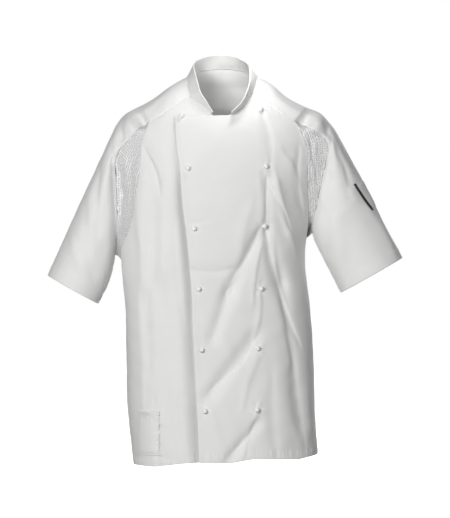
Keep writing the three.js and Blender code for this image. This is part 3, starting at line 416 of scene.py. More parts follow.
def sleeve_point(table, at, side, turn):
    """Half section of a sleeve: an arc of an ellipse from the top line (0) to the seam (1)."""
    at, side, turn = np.broadcast_arrays(np.asarray(at, float), side, np.asarray(turn, float))
    ridge_x, ridge_z, edge_x, edge_z, _, _, sweep, deep, lift = station(table, at)
    hand = np.sign(table[0, 2])
    raised = np.where(side > 0, 0, np.maximum(lift, 0))
    edge_x, edge_z = edge_x - hand * raised * LIFT_RUN, edge_z + raised
    ridge_y = mix(RIDGE_SET, 0, np.clip(at / RIDGE_LEVEL, 0, 1))
    sweep = np.radians(np.minimum(sweep, 180))
    sewn = np.minimum(at, TIP)
    depth_of = []
    for half in (1, -1):
        angle, z = seam_on_body(table, sewn, half)
        depth_of.append((ridge_y - body_point(angle, z)[..., 1]) * half / np.sin(sweep))
    sewn_deep = np.where(side > 0, depth_of[0], depth_of[1])
    fuller = BACK_FULL * np.clip((BACK_FULL_END - at) / (BACK_FULL_END - TIP - 1), 0, 1)
    deep = deep + np.where(side < 0, fuller, 0)
    near_tip = mix(sewn_deep, deep, np.clip(at - TIP, 0, 1))
    deep = np.where(at < TIP + 1, near_tip, deep)
    part = (1 - np.cos(sweep * turn)) / (1 - np.cos(sweep))
    degrees = side * turn * np.degrees(sweep)
    along = at / CUFF
    push = np.zeros(at.shape)
    for along1, round1, along2, round2, wide, depth in SLEEVE_FOLDS:
        t = np.clip((along - along1) / (along2 - along1), -DENT_END, 1 + DENT_END)
        across = (degrees - mix(round1, round2, np.clip(t, 0, 1))) / (360 * wide)
        past = np.maximum(np.maximum(-t, t - 1), 0) * DENT_FADE
        push += depth * np.exp(-across ** 2 - past ** 2)
    y = ridge_y - side * (deep + push) * np.sin(sweep * turn)
    return np.stack([mix(ridge_x, edge_x, part), y, mix(ridge_z, edge_z, part)], -1)


def station_of(step):
    """Station number by step down a seam: 4 steps to the gusset's tip, 10 more to the underarm."""
    raglan = step * TIP / RAGLAN_STEPS
    below = TIP + (step - RAGLAN_STEPS) * (UNDERARM - TIP) / (SEAM_STEPS - RAGLAN_STEPS)
    return np.where(step <= RAGLAN_STEPS, raglan, below)


def top_of_front(neck, table, s):
    """Top line of a front at place s: 0 to 6 the neckline, 6 to 20 the seam to the underarm."""
    angles = angle_at(neck[::-1, 0], neck[::-1, 1], 1)
    at = station_of(np.maximum(s - 6, 0))
    angle, z = seam_on_body(table, at, 1)
    index = np.arange(7)
    return (np.where(s < 6, curve(index, angles, np.minimum(s, 6)), angle),
            np.where(s < 6, curve(index, neck[::-1, 1], np.minimum(s, 6)), z))


def front_surface(neck, table, edge, hand, point_at, s, rise):
    """A front: columns hang from the top line to the hem, keeping their place between the
    front edge and the side seam; rise runs from 0 at the hem to 1 at the top."""
    def edge_place(z):
        return place_of(angle_at(curve(edge[:, 0], edge[:, 1], z), z, 1), z)
    side = hand * SIDE_SEAM
    angle, top_z = top_of_front(neck, table, s)
    first = edge_place(top_z)
    top_place = np.where(s <= 0, 0, (place_of(angle, top_z) - first) / (side - first))
    hem_place = mix(s / (SEAM_STEPS + NECK_STEPS), top_place, HEM_EVEN)
    hem_angle = mix(edge_place(np.full_like(s, HEM_BACK)), side, hem_place)
    hem_z = np.interp(body_point(hem_angle, HEM_BACK)[..., 0], HEM[:, 0], HEM[:, 1])
    z = mix(hem_z, top_z, rise)
    at = mix(hem_place, top_place, rise ** COLUMN_BEND)
    return point_at(angle_of(mix(edge_place(z), side, at), z), z)


def back_surface(s, rise):
    """The back: s 0 to 34 from the right side seam over the neckline to the left one."""
    full = lambda a: np.where(a < 0, a + 360, a)
    signed = lambda a: np.where(a > 180, a - 360, a)
    right, right_z = seam_on_body(SLEEVE_RIGHT, station_of(np.clip(14 - s, 0, 14)), -1)
    left, left_z = seam_on_body(SLEEVE_LEFT, station_of(np.clip(s - 20, 0, 14)), -1)
    r0, rz0 = seam_on_body(SLEEVE_RIGHT, np.array(0.0), -1)
    l0, lz0 = seam_on_body(SLEEVE_LEFT, np.array(0.0), -1)
    t = np.clip((s - 14) / 6, 0, 1)
    level = mix(rz0, lz0, t)
    neck_angle, neck_z = mix(full(r0), l0, t), level + (NECK_BACK - level) * np.sin(np.pi * t)
    angle = np.where(s < 14, full(right), np.where(s > 20, left, neck_angle))
    top_z = np.where(s < 14, right_z, np.where(s > 20, left_z, neck_z))
    start = 360 - SIDE_SEAM
    top_place = (full(place_of(signed(angle), top_z)) - start) / (SIDE_SEAM - start)
    hem_place = mix(s / (2 * SEAM_STEPS + NECK_STEPS), top_place, HEM_EVEN)
    hem_z = np.interp(body_point(mix(start, SIDE_SEAM, hem_place), HEM_BACK)[..., 0], HEM[:, 0], HEM[:, 1])
    z = mix(hem_z, top_z, rise)
    at = signed(mix(start, SIDE_SEAM, mix(hem_place, top_place, rise ** COLUMN_BEND)))
    return body_point(angle_of(at, z), z)


def gusset_surface(table, s, across):
    """A gusset: s 0 to 1 down the front armhole, 1 to 2 up the back; across from body to
    sleeve, a straight blend between its two seams."""
    front = s <= 1
    at = TIP + 0.04 + (UNDERARM - TIP - 0.04) * np.where(front, s, 2 - s)
    sides = []
    for half in (1, -1):
        angle, z = seam_on_body(table, at, half)
        a, b = body_point(angle, z), sleeve_point(table, at, half, 1.0)
        sides.append(mix(a, b, across[..., None]))
    return np.where(front[..., None], sides[0], sides[1])


def collar_base():
    """The neck seam as one smooth line: right front, over the shoulder, back, left front."""
    points = []
    for neck, point_at, order in ((NECK_RIGHT, under_point, -1), (NECK_LEFT, body_point, 1)):
        rows = neck[:4]
        index = np.linspace(0, 3, 19)
        x, z = curve(np.arange(4), rows[:, 0], index), curve(np.arange(4), rows[:, 1], index)
        points.append(point_at(angle_at(x, z, 1), z)[::order])
    quarter = np.arange(-3, 5)
    over_right = sleeve_point(SLEEVE_RIGHT, 0.0, np.where(quarter < 0, 1, -1), np.abs(quarter) / 4)
    over_left = sleeve_point(SLEEVE_LEFT, 0.0, np.where(quarter < 0, 1, -1), np.abs(quarter) / 4)[::-1]
    s = np.linspace(14, 20, 11)[1:-1]
    return np.concatenate([points[0], over_right, back_surface(s, np.ones(9)), over_left, points[1]])


def along_line(points, count):
    """A line through points, sampled evenly by its length."""
    run = np.concatenate([[0], np.cumsum(np.linalg.norm(np.diff(points, axis=0), axis=1))])
    at = np.linspace(0, run[-1], count) if np.isscalar(count) else np.asarray(count) * run[-1]
    return np.stack([curve(run, points[:, k], at) for k in range(3)], -1)


def collar_surface(s, rise):
    """The stand collar: from the neck seam towards its rim, which is the seam plus the lean
    for the direction round, drawn smooth by a bell of weights along the seam."""
    line = along_line(collar_base(), 240)
    rim = line + collar_lean(line)
    run = np.concatenate([[0], np.cumsum(np.linalg.norm(np.diff(line, axis=0), axis=1))])
    near = np.minimum(run, run[-1] - run)
    reach = np.minimum(RIM_SMOOTH, near / 2 + 1)
    weight = np.exp(-((run[None] - run[:, None]) / reach[:, None]) ** 2)
    rim = weight @ rim / weight.sum(1, keepdims=True)
    at = s[:, 0] * run[-1]
    base = np.stack([np.interp(at, run, line[:, k]) for k in range(3)], -1)
    rim = np.stack([curve(run, rim[:, k], at) for k in range(3)], -1)
    return base[:, None, :] + (rim - base)[:, None, :] * rise[0][None, :, None]


def collar_lean(base):
    """How far the rim leans from the seam, by the direction round the neck."""
    turn = np.degrees(np.arctan2(base[:, 0] + 4, -base[:, 1] + 6))
    return np.stack([curve(COLLAR_LEAN[:, 0], COLLAR_LEAN[:, k], turn) for k in (1, 2, 3)], -1)


# ---- from surfaces to cloth

def normals_of(grid):
    """Unit normals: first parameter's direction crossed with the second's."""
    n = np.cross(np.gradient(grid, axis=0), np.gradient(grid, axis=1))
    return n / np.maximum(np.linalg.norm(n, axis=-1, keepdims=True), 1e-9)


def runs(grid, axis):
    """Distance along the surface from the first row or column of an axis."""
    steps = np.linalg.norm(np.diff(grid, axis=axis), axis=-1)
    pad = [(1, 0), (0, 0)] if axis == 0 else [(0, 0), (1, 0)]
    return np.pad(np.cumsum(steps, axis=axis), pad)


# Places of the grid beside a worked edge, in millimetres from it.
CLOSE = np.array([0, 0.5, 1.0, 1.6, 2.4, 3.4, 4.6, 5.6, 6.6, 7.8, 9.6])


def spacing(total, step, low=True, high=True):
    """Places from 0 to 1 about a step apart, with closer ones beside a worked edge."""
    start = CLOSE if low else np.array([0.0])
    end = total - CLOSE[::-1] if high else np.array([total])
    inner = np.linspace(start[-1], end[0], max(int((end[0] - start[-1]) / step), 2) + 1)
    return np.concatenate([start, inner[1:-1], end]) / total


def sample(surface, s_range, t_range, step, close=(True, True, True, True)):
    """A grid over a surface, evenly spaced in millimetres both ways."""
    fine_s, fine_t = np.linspace(*s_range, 240), np.linspace(*t_range, 60)
    s, t = np.meshgrid(fine_s, fine_t, indexing="ij")
    grid = surface(s, t)
    run_s = np.median(runs(grid, 0), axis=1) * 0.5 + runs(grid, 0)[:, -1] * 0.5
    run_t = np.median(runs(grid, 1), axis=0)
    at_s = np.interp(spacing(run_s[-1], step, *close[:2]) * run_s[-1], run_s, fine_s)
    at_t = np.interp(spacing(run_t[-1], step, *close[2:]) * run_t[-1], run_t, fine_t)
    return surface(*np.meshgrid(at_s, at_t, indexing="ij"))


def facing_side(normals):
    """1 where a surface faces the front, -1 the back."""
    return np.where(normals[..., 1] <= 0, 1, -1)


def worn(grid, normals, cover=0.0):
    """Push of creases and unevenness along the normal, less where the cloth turns away."""
    x, y, z = grid[..., 0], grid[..., 1], grid[..., 2]
    facing = np.clip(np.abs(normals[..., 1]) * 1.8, 0, 1)
    push = crease_push(x, z, facing_side(normals)) * facing
    push += 0.55 * rumple(x, y, z, 3, 95) + 0.22 * rumple(x, y, z, 8, 38)
    return push * (1 - cover)


def seam_dip(distance, depth=0.55, wide=1.3):
    """A groove along a seam."""
    return -depth * np.exp(-(distance / wide) ** 2)


def stitched(distance, line, depth=0.3, wide=0.9):
    """The shallow valley that a row of stitches pulls into the cloth."""
    return -depth * np.exp(-((distance - line) / wide) ** 2)


def pucker(distance, along, reach, wave, seed):
    """Small cross ripples beside a sewn line, fading away from it."""
    rng = np.random.default_rng(seed)
    phase = rng.uniform(0, 6.28, 4)
    ripple = sum(np.cos(2 * np.pi * along / (wave * f) + p) for f, p in zip((1, 0.73, 1.61, 2.4), phase))
    return 0.25 * ripple * np.exp(-(distance / reach) ** 2)


def band(distance, depth, rise):
    """A turned hem: cloth doubled up to a depth from the edge, with a soft step."""
    return rise * ease((depth + 0.8 - distance) / 1.6)


def place_mesh(name, points, faces, material, uv=None):
    """A mesh object in metres, with a UV map in metres along the cloth."""
    mesh = bpy.data.meshes.new(name)
    mesh.from_pydata((points * MM).tolist(), [], faces.tolist())
    mesh.polygons.foreach_set("use_smooth", np.ones(len(mesh.polygons), bool))
    if uv is not None:
        layer = mesh.uv_layers.new(name="cloth")
        index = np.empty(len(mesh.loops), np.int32)
        mesh.loops.foreach_get("vertex_index", index)
        layer.data.foreach_set("uv", (uv[index] * MM).astype(np.float32).ravel())
    mesh.materials.append(material)
    mesh.update()
    obj = bpy.data.objects.new(name, mesh)
    bpy.context.scene.collection.objects.link(obj)
    return obj


def quads_of(n, m, closed=False):
    """Faces of a grid of n by m points, closed back to its first row if asked."""
    i, j = np.meshgrid(np.arange(n if closed else n - 1), np.arange(m - 1), indexing="ij")
    a, b = (i * m + j).ravel(), ((i + 1) % n * m + j).ravel()
    return np.stack([a, b, b + 1, a + 1], 1)


def wall(name, grid, normals, thickness, material):
    """A closed shell: the grid moved out and in by half the thickness, joined by a rim
    that stands out a little less than that half."""
    n, m = grid.shape[:2]
    thickness = np.broadcast_to(thickness, (n, m))[..., None]
    outer, inner = grid + normals * thickness / 2, grid - normals * thickness / 2
    ring = np.concatenate([
        np.arange(n) * m, (n - 1) * m + np.arange(1, m), np.arange(n - 2, -1, -1) * m + m - 1,
        np.arange(m - 2, 0, -1)])
    flat = grid.reshape(-1, 3)
    flat_n = normals.reshape(-1, 3)[ring]
    ahead = np.roll(flat[ring], -1, 0) - np.roll(flat[ring], 1, 0)
    outward = np.cross(ahead, flat_n)
    outward /= np.maximum(np.linalg.norm(outward, axis=1, keepdims=True), 1e-9)
    rim = flat[ring] + outward * thickness.reshape(-1, 1)[ring] * 0.45
    points = np.concatenate([outer.reshape(-1, 3), inner.reshape(-1, 3), rim])
    quads = quads_of(n, m)
    count = n * m
    own = 2 * count + np.arange(len(ring))
    after, own_after = np.roll(ring, -1), np.roll(own, -1)
    faces = np.concatenate([
        quads, quads[:, ::-1] + count,
        np.stack([own, own_after, after, ring], 1),
        np.stack([ring + count, after + count, own_after, own], 1)])
    u, v = runs(grid, 0), runs(grid, 1)
    u = u - u[n // 2][None, :]
    uv = np.stack([u.ravel(), v.ravel()], 1)
    return place_mesh(name, points, faces, material, np.concatenate([uv, uv, uv[ring]]))


def flat_cut(grid):
    """Longest runs of the grid both ways along the cloth in metres, its area in square metres."""
    width, length_ = runs(grid, 0)[-1].max(), runs(grid, 1)[:, -1].max()
    a, b = grid[1:, 1:] - grid[:-1, :-1], grid[:-1, 1:] - grid[1:, :-1]
    area = np.linalg.norm(np.cross(a, b), axis=-1).sum() / 2
    return width * MM, length_ * MM, area * MM * MM


def declare(obj, node, grid):
    """Rides the body and stands for its solid, whose part it hides. Works out how large the cloth is: its
    longest runs both ways along the grid, and its area; these are not used further."""
    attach(obj, "root")
    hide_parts(node)
    width, length_, area = flat_cut(grid)
    flat = (max(width, SHEET_LEAST), max(length_, SHEET_LEAST))
    return obj


def stitch_rows(name, rows, material):
    """Sewn thread: spindles of four sides, one for each stitch, lying along sampled rows of
    (points, normals)."""
    size = sizes()
    long, radius = size.stitch / MM, size.thread / MM
    starts, ends, ups = [], [], []
    for points, normals in rows:
        run = np.concatenate([[0], np.cumsum(np.linalg.norm(np.diff(points, axis=0), axis=1))])
        count = max(int(run[-1] / (long * 1.35)), 1)
        first = (np.arange(count) + 0.15) * run[-1] / count
        at = np.stack([first, np.minimum(first + long, run[-1])])
        starts.append(np.stack([np.interp(at[0], run, points[:, k]) for k in range(3)], 1))
        ends.append(np.stack([np.interp(at[1], run, points[:, k]) for k in range(3)], 1))
        ups.append(np.stack([np.interp(at.mean(0), run, normals[:, k]) for k in range(3)], 1))
    start, end, up = (np.concatenate(part) for part in (starts, ends, ups))
    up /= np.linalg.norm(up, axis=1, keepdims=True)
    axis = end - start
    side = np.cross(axis, up)
    side /= np.maximum(np.linalg.norm(side, axis=1, keepdims=True), 1e-9)
    rings = []
    for t, scale in ((0.0, 0.0), (0.3, 1.0), (0.7, 1.0), (1.0, 0.0)):
        centre = start + axis * t + up * radius * (0.9 if scale else -0.6)
        if scale:
            rings += [centre + way * radius for way in (side, up, -side, -up)]
        else:
            rings.append(centre)
    points = np.stack(rings, 1)
    tips = [(0, 1, 2), (0, 2, 3), (0, 3, 4), (0, 4, 1), (9, 6, 5), (9, 7, 6), (9, 8, 7), (9, 5, 8)]
    tubes = [t for k in range(4) for t in (
        (1 + k, 5 + k, 5 + (k + 1) % 4), (1 + k, 5 + (k + 1) % 4, 1 + (k + 1) % 4))]
    faces = np.array(tips + tubes)[None] + 10 * np.arange(len(start))[:, None, None]
    return place_mesh(name, points.reshape(-1, 3), faces.reshape(-1, 3), material)


# ---- cloth of each panel, worked out once and shared by what is sewn to it

class Cloth:
    """A worn panel: its middle surface, outward normals, thickness and edge distances."""

    def __init__(self, grid, thickness, cover=0.0, extra=None, sewn=()):
        normals = normals_of(grid)
        self.flat = grid
        run_i, run_j = runs(grid, 0), runs(grid, 1)
        self.distance = {
            "start": run_i, "end": run_i[-1:] - run_i, "low": run_j, "high": run_j[:, -1:] - run_j}
        self.u, self.v = run_i, run_j
        push = worn(grid, normals, cover)
        for edge in sewn:
            push = push * ease(self.distance[edge] / SEWN_REACH)
        thick = np.full(grid.shape[:2], float(thickness))
        if extra is not None:
            more, thicker = extra(self)
            push, thick = push + more, thick * (1 + thicker)
        self.grid = grid + normals * push[..., None]
        self.normals = normals_of(self.grid)
        self.thickness = thick

    def line(self, edge, distance, lift=0.0):
        """Points and normals on the outer face at a distance in from an edge."""
        axis = 0 if edge in ("start", "end") else 1
        flip = (slice(None),) * axis + (slice(None, None, -1 if edge in ("end", "high") else 1),)
        gap = np.moveaxis(self.distance[edge][flip], axis, -1)
        side = 1 if lift >= 0 else -1
        face = self.grid + side * self.normals * (self.thickness / 2 + abs(lift))[..., None]
        points, normals = (np.moveaxis(part[flip], axis, -2) for part in (face, self.normals))
        k = np.clip((gap < distance).sum(-1), 1, gap.shape[-1] - 1)[:, None]
        low, high = (np.take_along_axis(gap, index, -1) for index in (k - 1, k))
        t = np.clip((distance - low) / np.maximum(high - low, 1e-6), 0, 1)[..., None]
        picked = []
        for part in (points, normals):
            a = np.take_along_axis(part, (k - 1)[..., None], -2)
            b = np.take_along_axis(part, k[..., None], -2)
            picked.append(mix(a, b, t)[:, 0])
        return picked[0], picked[1] * side


MADE = {}


def cloth(name):
    """The worn panel of a name, worked out at its first use."""
    if name not in MADE:
        MADE[name] = PANELS[name]()
    return MADE[name]


def overlap_cloth():
    """Wearer's left front: a free stitched edge and corner, neck and raglan seams, turned hem."""
    size = sizes()
    hem, facing = size.hem / MM, size.facing / MM
    def surface(s, t):
        return front_surface(NECK_LEFT, SLEEVE_LEFT, EDGE_LEFT, 1, body_point, s, t)
    def extra(c):
        d = c.distance
        x, z = c.flat[..., 0], c.flat[..., 2]
        sewn = ease((x - 6) / 20)
        push = seam_dip(d["end"]) + seam_dip(d["high"]) * sewn
        push += stitched(d["low"], hem) + pucker(d["low"] - hem, c.u, 7, 9, 21)
        push += stitched(d["start"], facing, 0.25)
        push += pucker(d["high"], c.u, 9, 11, 22) * sewn * 0.8
        push += pucker(d["end"], c.v, 5, 16, 23) * 0.6
        push += 1.6 * np.exp(-(d["start"] / 9) ** 2) * np.sin(z / 47) * 0.6
        push += 1.3 * np.exp(-(d["high"] / 6) ** 2) * (1 - sewn)
        for bx, bz in np.concatenate([STUDS_LEFT, STUDS_RIGHT]):
            away = np.hypot(x - bx, z - bz)
            push -= 1.1 * np.exp(-(away / 7) ** 2)
            spoke = np.arctan2(z - bz, x - bx)
            strength = 0.55 * (0.45 if bx < 0 else 1.0)
            push += strength * np.cos(5 * spoke + bx) * np.exp(-((away - 12) / 9) ** 2)
            push -= 0.7 * np.exp(-((z - bz) / 0.9) ** 2) * ease((x - bx) / 3) * ease((bx + 17 - x) / 2)
        thick = band(d["low"], hem, 0.7) + band(d["start"], facing * 1.7, 0.8) * (d["low"] > 0)
        return push, thick
    grid = sample(surface, (0, 20), (0, 1), size.step / MM)
    return Cloth(grid, size.cloth / MM, 0.0, extra, ("high", "end"))


def under_cloth():
    """Wearer's right front: goes behind the overlap to an edge of its own, turned hem."""
    size = sizes()
    hem = size.hem / MM
    def surface(s, t):
        return front_surface(NECK_RIGHT, SLEEVE_RIGHT, EDGE_RIGHT, -1, under_point, 20 - s, t)
    grid = sample(surface, (0, 20), (0, 1), size.step / MM)
    cover = covered(grid[..., 0], grid[..., 2])
    def extra(c):
        d = c.distance
        x, z = c.flat[..., 0], c.flat[..., 2]
        push = seam_dip(d["start"]) + seam_dip(d["high"]) * (1 - cover)
        push += stitched(d["low"], hem) + pucker(d["low"] - hem, c.u, 7, 9, 31)
        push += pucker(d["high"], c.u, 8, 10, 32) * (1 - cover)
        push += pucker(d["start"], c.v, 5, 16, 33) * 0.6
        beside = x - curve(EDGE_LEFT[:, 0], EDGE_LEFT[:, 1], z) - 2
        push -= 8 * np.exp(-(beside / mix(11, 18, ease((-150 - z) / 500))) ** 2) * ease((-130 - z) / 120)
        inner = np.abs(x - HIP_POCKET["right"])
        low = ease((HIP_POCKET["top"] + 12 - z) / 12)
        push += (pucker(inner, z, 8, 12, 34) * 1.6 - 0.8 * np.exp(-(inner / 3) ** 2)) * low
        thick = band(d["low"], hem, 0.7) + band(d["end"], 10, 0.8)
        return push, thick
    return Cloth(grid, size.cloth / MM, cover, extra, ("high", "start"))


def back_cloth():
    """The back: plain, seams at both sides, both armholes and the neck, turned hem."""
    size = sizes()
    hem = size.hem / MM
    def surface(s, t):
        return back_surface(34 - s, t)
    def extra(c):
        d = c.distance
        push = seam_dip(d["start"]) + seam_dip(d["end"]) + seam_dip(d["high"])
        push += stitched(d["low"], hem) + pucker(d["low"] - hem, c.u, 7, 9, 41)
        push += pucker(d["high"], c.u, 9, 12, 42)
        push += (pucker(d["start"], c.v, 5, 16, 43) + pucker(d["end"], c.v, 5, 16, 44)) * 0.6
        return push, band(d["low"], hem, 0.7)
    grid = sample(surface, (0, 34), (0, 1), size.step / MM)
    return Cloth(grid, size.cloth / MM, 0.0, extra, ("start", "end", "high"))


def sleeve_cloth(table, seed):
    """A raglan sleeve: neck to cuff, from its front seam over the arm to its back seam."""
    size = sizes()
    depth = size.cuff / MM
    right = table[0, 2] < 0
    def surface(at, w):
        w = -w if right else w
        return sleeve_point(table, at, np.where(w < 0, 1, -1), np.abs(w))
    def extra(c):
        d = c.distance
        push = seam_dip(d["low"]) + seam_dip(d["high"]) + stitched(d["end"], depth)
        push += pucker(d["end"] - depth, c.v, 6, 10, seed)
        push += (pucker(d["low"], c.u, 7, 12, seed + 1) + pucker(d["high"], c.u, 7, 12, seed + 2)) * 0.9
        push += stitched(d["low"], 6, 0.2) + stitched(d["high"], 6, 0.2)
        fell = 0.45 * ease((7.0 - d["low"]) / 1.2) + 0.45 * ease((7.0 - d["high"]) / 1.2)
        return push, band(d["end"], depth, 0.7) + fell
    grid = sample(surface, (0, CUFF), (-1, 1), size.step / MM)
    return Cloth(grid, size.cloth / MM, 0.0, extra, ("low", "high"))


def gusset_cloth(table, seed):
    """A net gusset: a crescent from its front tip under the arm to its back tip."""
    size = sizes()
    right = table[0, 2] < 0
    def surface(s, w):
        w = 1 - w if right else w
        return gusset_surface(table, s, w)
    def extra(c):
        d = c.distance
        push = seam_dip(d["low"], 0.7) + seam_dip(d["high"], 0.7)
        push += (pucker(d["low"], c.u, 6, 9, seed) + pucker(d["high"], c.u, 6, 9, seed + 1)) * 1.2
        push += 0.8 * rumple(c.flat[..., 0], c.flat[..., 1], c.flat[..., 2], seed, 30)
        return push * ease((c.v[:, -1:] - 3) / 12), 0.0
    grid = sample(surface, (0, 2), (0, 1), size.step / MM * 0.9)
    return Cloth(grid, size.net / MM, 0.0, extra, ("low", "high"))


def collar_cloth():
    """The stand collar: one doubled band, stitched round its rim and sewn to the neckline."""
    size = sizes()
    def surface(s, t):
        return collar_surface(1 - s, t)
    def extra(c):
        d = c.distance
        push = pucker(d["low"], c.u, 7, 9, 71) * 1.1 + stitched(d["low"], 2.4, 0.3)
        push += stitched(d["high"], 5.2, 0.25) + 0.4 * rumple(*(c.flat[..., k] for k in range(3)), 72, 34)
        return push, 0.35 * np.exp(-(d["high"] / 2.2) ** 2)
    return Cloth(sample(surface, (0, 1), (-0.04, 1), 2.2), size.collar / MM, 0.0, extra)


PANELS = {
    "front_left": overlap_cloth,
    "front_right": under_cloth,
    "back": back_cloth,
    "sleeve_right": lambda: sleeve_cloth(SLEEVE_RIGHT, 51),
    "sleeve_left": lambda: sleeve_cloth(SLEEVE_LEFT, 55),
    "gusset_right": lambda: gusset_cloth(SLEEVE_RIGHT, 61),
    "gusset_left": lambda: gusset_cloth(SLEEVE_LEFT, 65),
    "collar": collar_cloth,
}


def front_at(x, z, point_at, lift):
    """Points and normals standing a lift above a front's cloth, by x and z."""
    def bare(dx, dz):
        return point_at(angle_at(x + dx, z + dz, 1), z + dz)
    normals = np.cross(bare(0.5, 0) - bare(-0.5, 0), bare(0, 0.5) - bare(0, -0.5))
    normals /= np.linalg.norm(normals, axis=-1, keepdims=True)
    points = bare(0, 0)
    return points + normals * (worn(points, normals) + lift)[..., None], normals


# ---- materials

def node(tree, kind, links=(), **settings):
    """Adds a shader node; links are (input, value or socket), settings its own properties."""
    made = tree.nodes.new(kind)
    for key, value in settings.items():
        setattr(made, key, value)
    for name, value in links:
        if isinstance(value, bpy.types.NodeSocket):
            tree.links.new(value, made.inputs[name])
        else:
            made.inputs[name].default_value = value
    return made


def new_material(name):
    """An empty node material with its Principled shader and output."""
    made = bpy.data.materials.new(name)
    made.use_nodes = True
    made.node_tree.nodes.clear()
    shader = node(made.node_tree, "ShaderNodeBsdfPrincipled")
    node(made.node_tree, "ShaderNodeOutputMaterial", [("Surface", shader.outputs[0])])
    return made, made.node_tree, shader


def add_bump(tree, shader, height, strength, distance):
    """Raises the shader's surface by a height."""
    bump = node(tree, "ShaderNodeBump", [
        ("Height", height), ("Strength", strength), ("Distance", distance)])
    tree.links.new(bump.outputs[0], shader.inputs["Normal"])


def cotton_twill():
    """White cotton twill, 2/1 weave, laundered: matt, faint diagonal lines. The lines are drawn twice
    as coarse as real ones."""
    if "cotton_twill" in bpy.data.materials:
        return bpy.data.materials["cotton_twill"]
    made, tree, shader = new_material("cotton_twill")
    pitch = sizes().twill_pitch
    uv = node(tree, "ShaderNodeUVMap", uv_map="cloth").outputs[0]
    turned = node(tree, "ShaderNodeMapping", [
        ("Vector", uv), ("Rotation", (0, 0, 1.05)), ("Scale", (1 / pitch,) * 3)])
    lines = node(tree, "ShaderNodeTexWave", [
        ("Vector", turned.outputs[0]), ("Scale", 0.3183), ("Distortion", 0.6), ("Detail", 1.0),
        ("Detail Scale", 2.0)], wave_type="BANDS", bands_direction="X")
    place = node(tree, "ShaderNodeTexCoord").outputs["Object"]
    slub = node(tree, "ShaderNodeTexNoise", [("Vector", place), ("Scale", 900.0), ("Detail", 2.0)])
    cloud = node(tree, "ShaderNodeTexNoise", [("Vector", place), ("Scale", 14.0), ("Detail", 3.0)])
    height = node(tree, "ShaderNodeMath", [
        (0, lines.outputs["Fac"]), (1, slub.outputs["Fac"])], operation="ADD")
    add_bump(tree, shader, height.outputs[0], 0.35, 0.00012)
    tint = node(tree, "ShaderNodeMapRange", [
        ("Value", cloud.outputs["Fac"]), ("From Min", 0.3), ("From Max", 0.7),
        ("To Min", 0.965), ("To Max", 1.0)])
    white = node(tree, "ShaderNodeVectorMath", [
        (0, tuple(colours().cotton)[:3]), ("Scale", tint.outputs[0])], operation="SCALE")
    tree.links.new(white.outputs[0], shader.inputs["Base Color"])
    shader.inputs["Roughness"].default_value = 0.86
    shader.inputs["Specular IOR Level"].default_value = 0.25
    shader.inputs["Sheen Weight"].default_value = 0.12
    shader.inputs["Sheen Roughness"].default_value = 0.5
    return made


def polyester_net():
    """White polyester warp-knit net: small holes in slightly uneven rows, each a dark dot of painted shade
    for the shade seen through it, with a raised rim of yarn, slightly shinier than the cotton."""
    if "polyester_net" in bpy.data.materials:
        return bpy.data.materials["polyester_net"]
    made, tree, shader = new_material("polyester_net")
    pitch = sizes().net_pitch
    uv = node(tree, "ShaderNodeUVMap", uv_map="cloth").outputs[0]
    cells = node(tree, "ShaderNodeTexVoronoi", [
        ("Vector", uv), ("Scale", 1 / pitch), ("Randomness", 0.3)], voronoi_dimensions="2D")
    hole = node(tree, "ShaderNodeMapRange", [
        ("Value", cells.outputs["Distance"]), ("From Min", 0.24), ("From Max", 0.44),
        ("To Min", 1.0), ("To Max", 0.0)], interpolation_type="SMOOTHSTEP")
    # The holes are painted a darker grey: painted shade for what is seen through them, not a colour of the
    # net.
    blend = node(tree, "ShaderNodeMix", [
        ("Factor", hole.outputs[0]), (6, tuple(colours().net)), (7, tuple(colours().hole))], data_type="RGBA")
    sunk = node(tree, "ShaderNodeMath", [(0, 1.0), (1, hole.outputs[0])], operation="SUBTRACT")
    add_bump(tree, shader, sunk.outputs[0], 0.7, 0.0006)
    tree.links.new(blend.outputs[2], shader.inputs["Base Color"])
    shader.inputs["Roughness"].default_value = 0.6
    shader.inputs["Sheen Weight"].default_value = 0.1
    return made


def sewing_thread():
    """White spun polyester sewing thread: smooth, a fine twist along each stitch."""
    if "sewing_thread" in bpy.data.materials:
        return bpy.data.materials["sewing_thread"]
    made, tree, shader = new_material("sewing_thread")
    place = node(tree, "ShaderNodeTexCoord").outputs["Object"]
    twist = node(tree, "ShaderNodeTexWave", [("Vector", place), ("Scale", 900.0)], bands_direction="DIAGONAL")
    add_bump(tree, shader, twist.outputs["Fac"], 0.3, 0.0001)
    shader.inputs["Base Color"].default_value = tuple(colours().thread)
    shader.inputs["Roughness"].default_value = 0.55
    return made


def moulded_nylon():
    """White injection-moulded nylon of the studs: smooth satin, a little light let through,
    with the faint unevenness of a tumbled moulding."""
    if "moulded_nylon" in bpy.data.materials:
        return bpy.data.materials["moulded_nylon"]
    made, tree, shader = new_material("moulded_nylon")
    place = node(tree, "ShaderNodeTexCoord").outputs["Object"]
    grain = node(tree, "ShaderNodeTexNoise", [("Vector", place), ("Scale", 420.0), ("Detail", 2.0)])
    add_bump(tree, shader, grain.outputs["Fac"], 0.12, 0.0002)
    rough = node(tree, "ShaderNodeMapRange", [
        ("Value", grain.outputs["Fac"]), ("To Min", 0.26), ("To Max", 0.38)])
    tree.links.new(rough.outputs[0], shader.inputs["Roughness"])
    shader.inputs["Base Color"].default_value = tuple(colours().stud)
    shader.inputs["IOR"].default_value = 1.53
    shader.inputs["Subsurface Weight"].default_value = 0.08
    shader.inputs["Subsurface Radius"].default_value = (0.002, 0.0018, 0.0016)
    return made


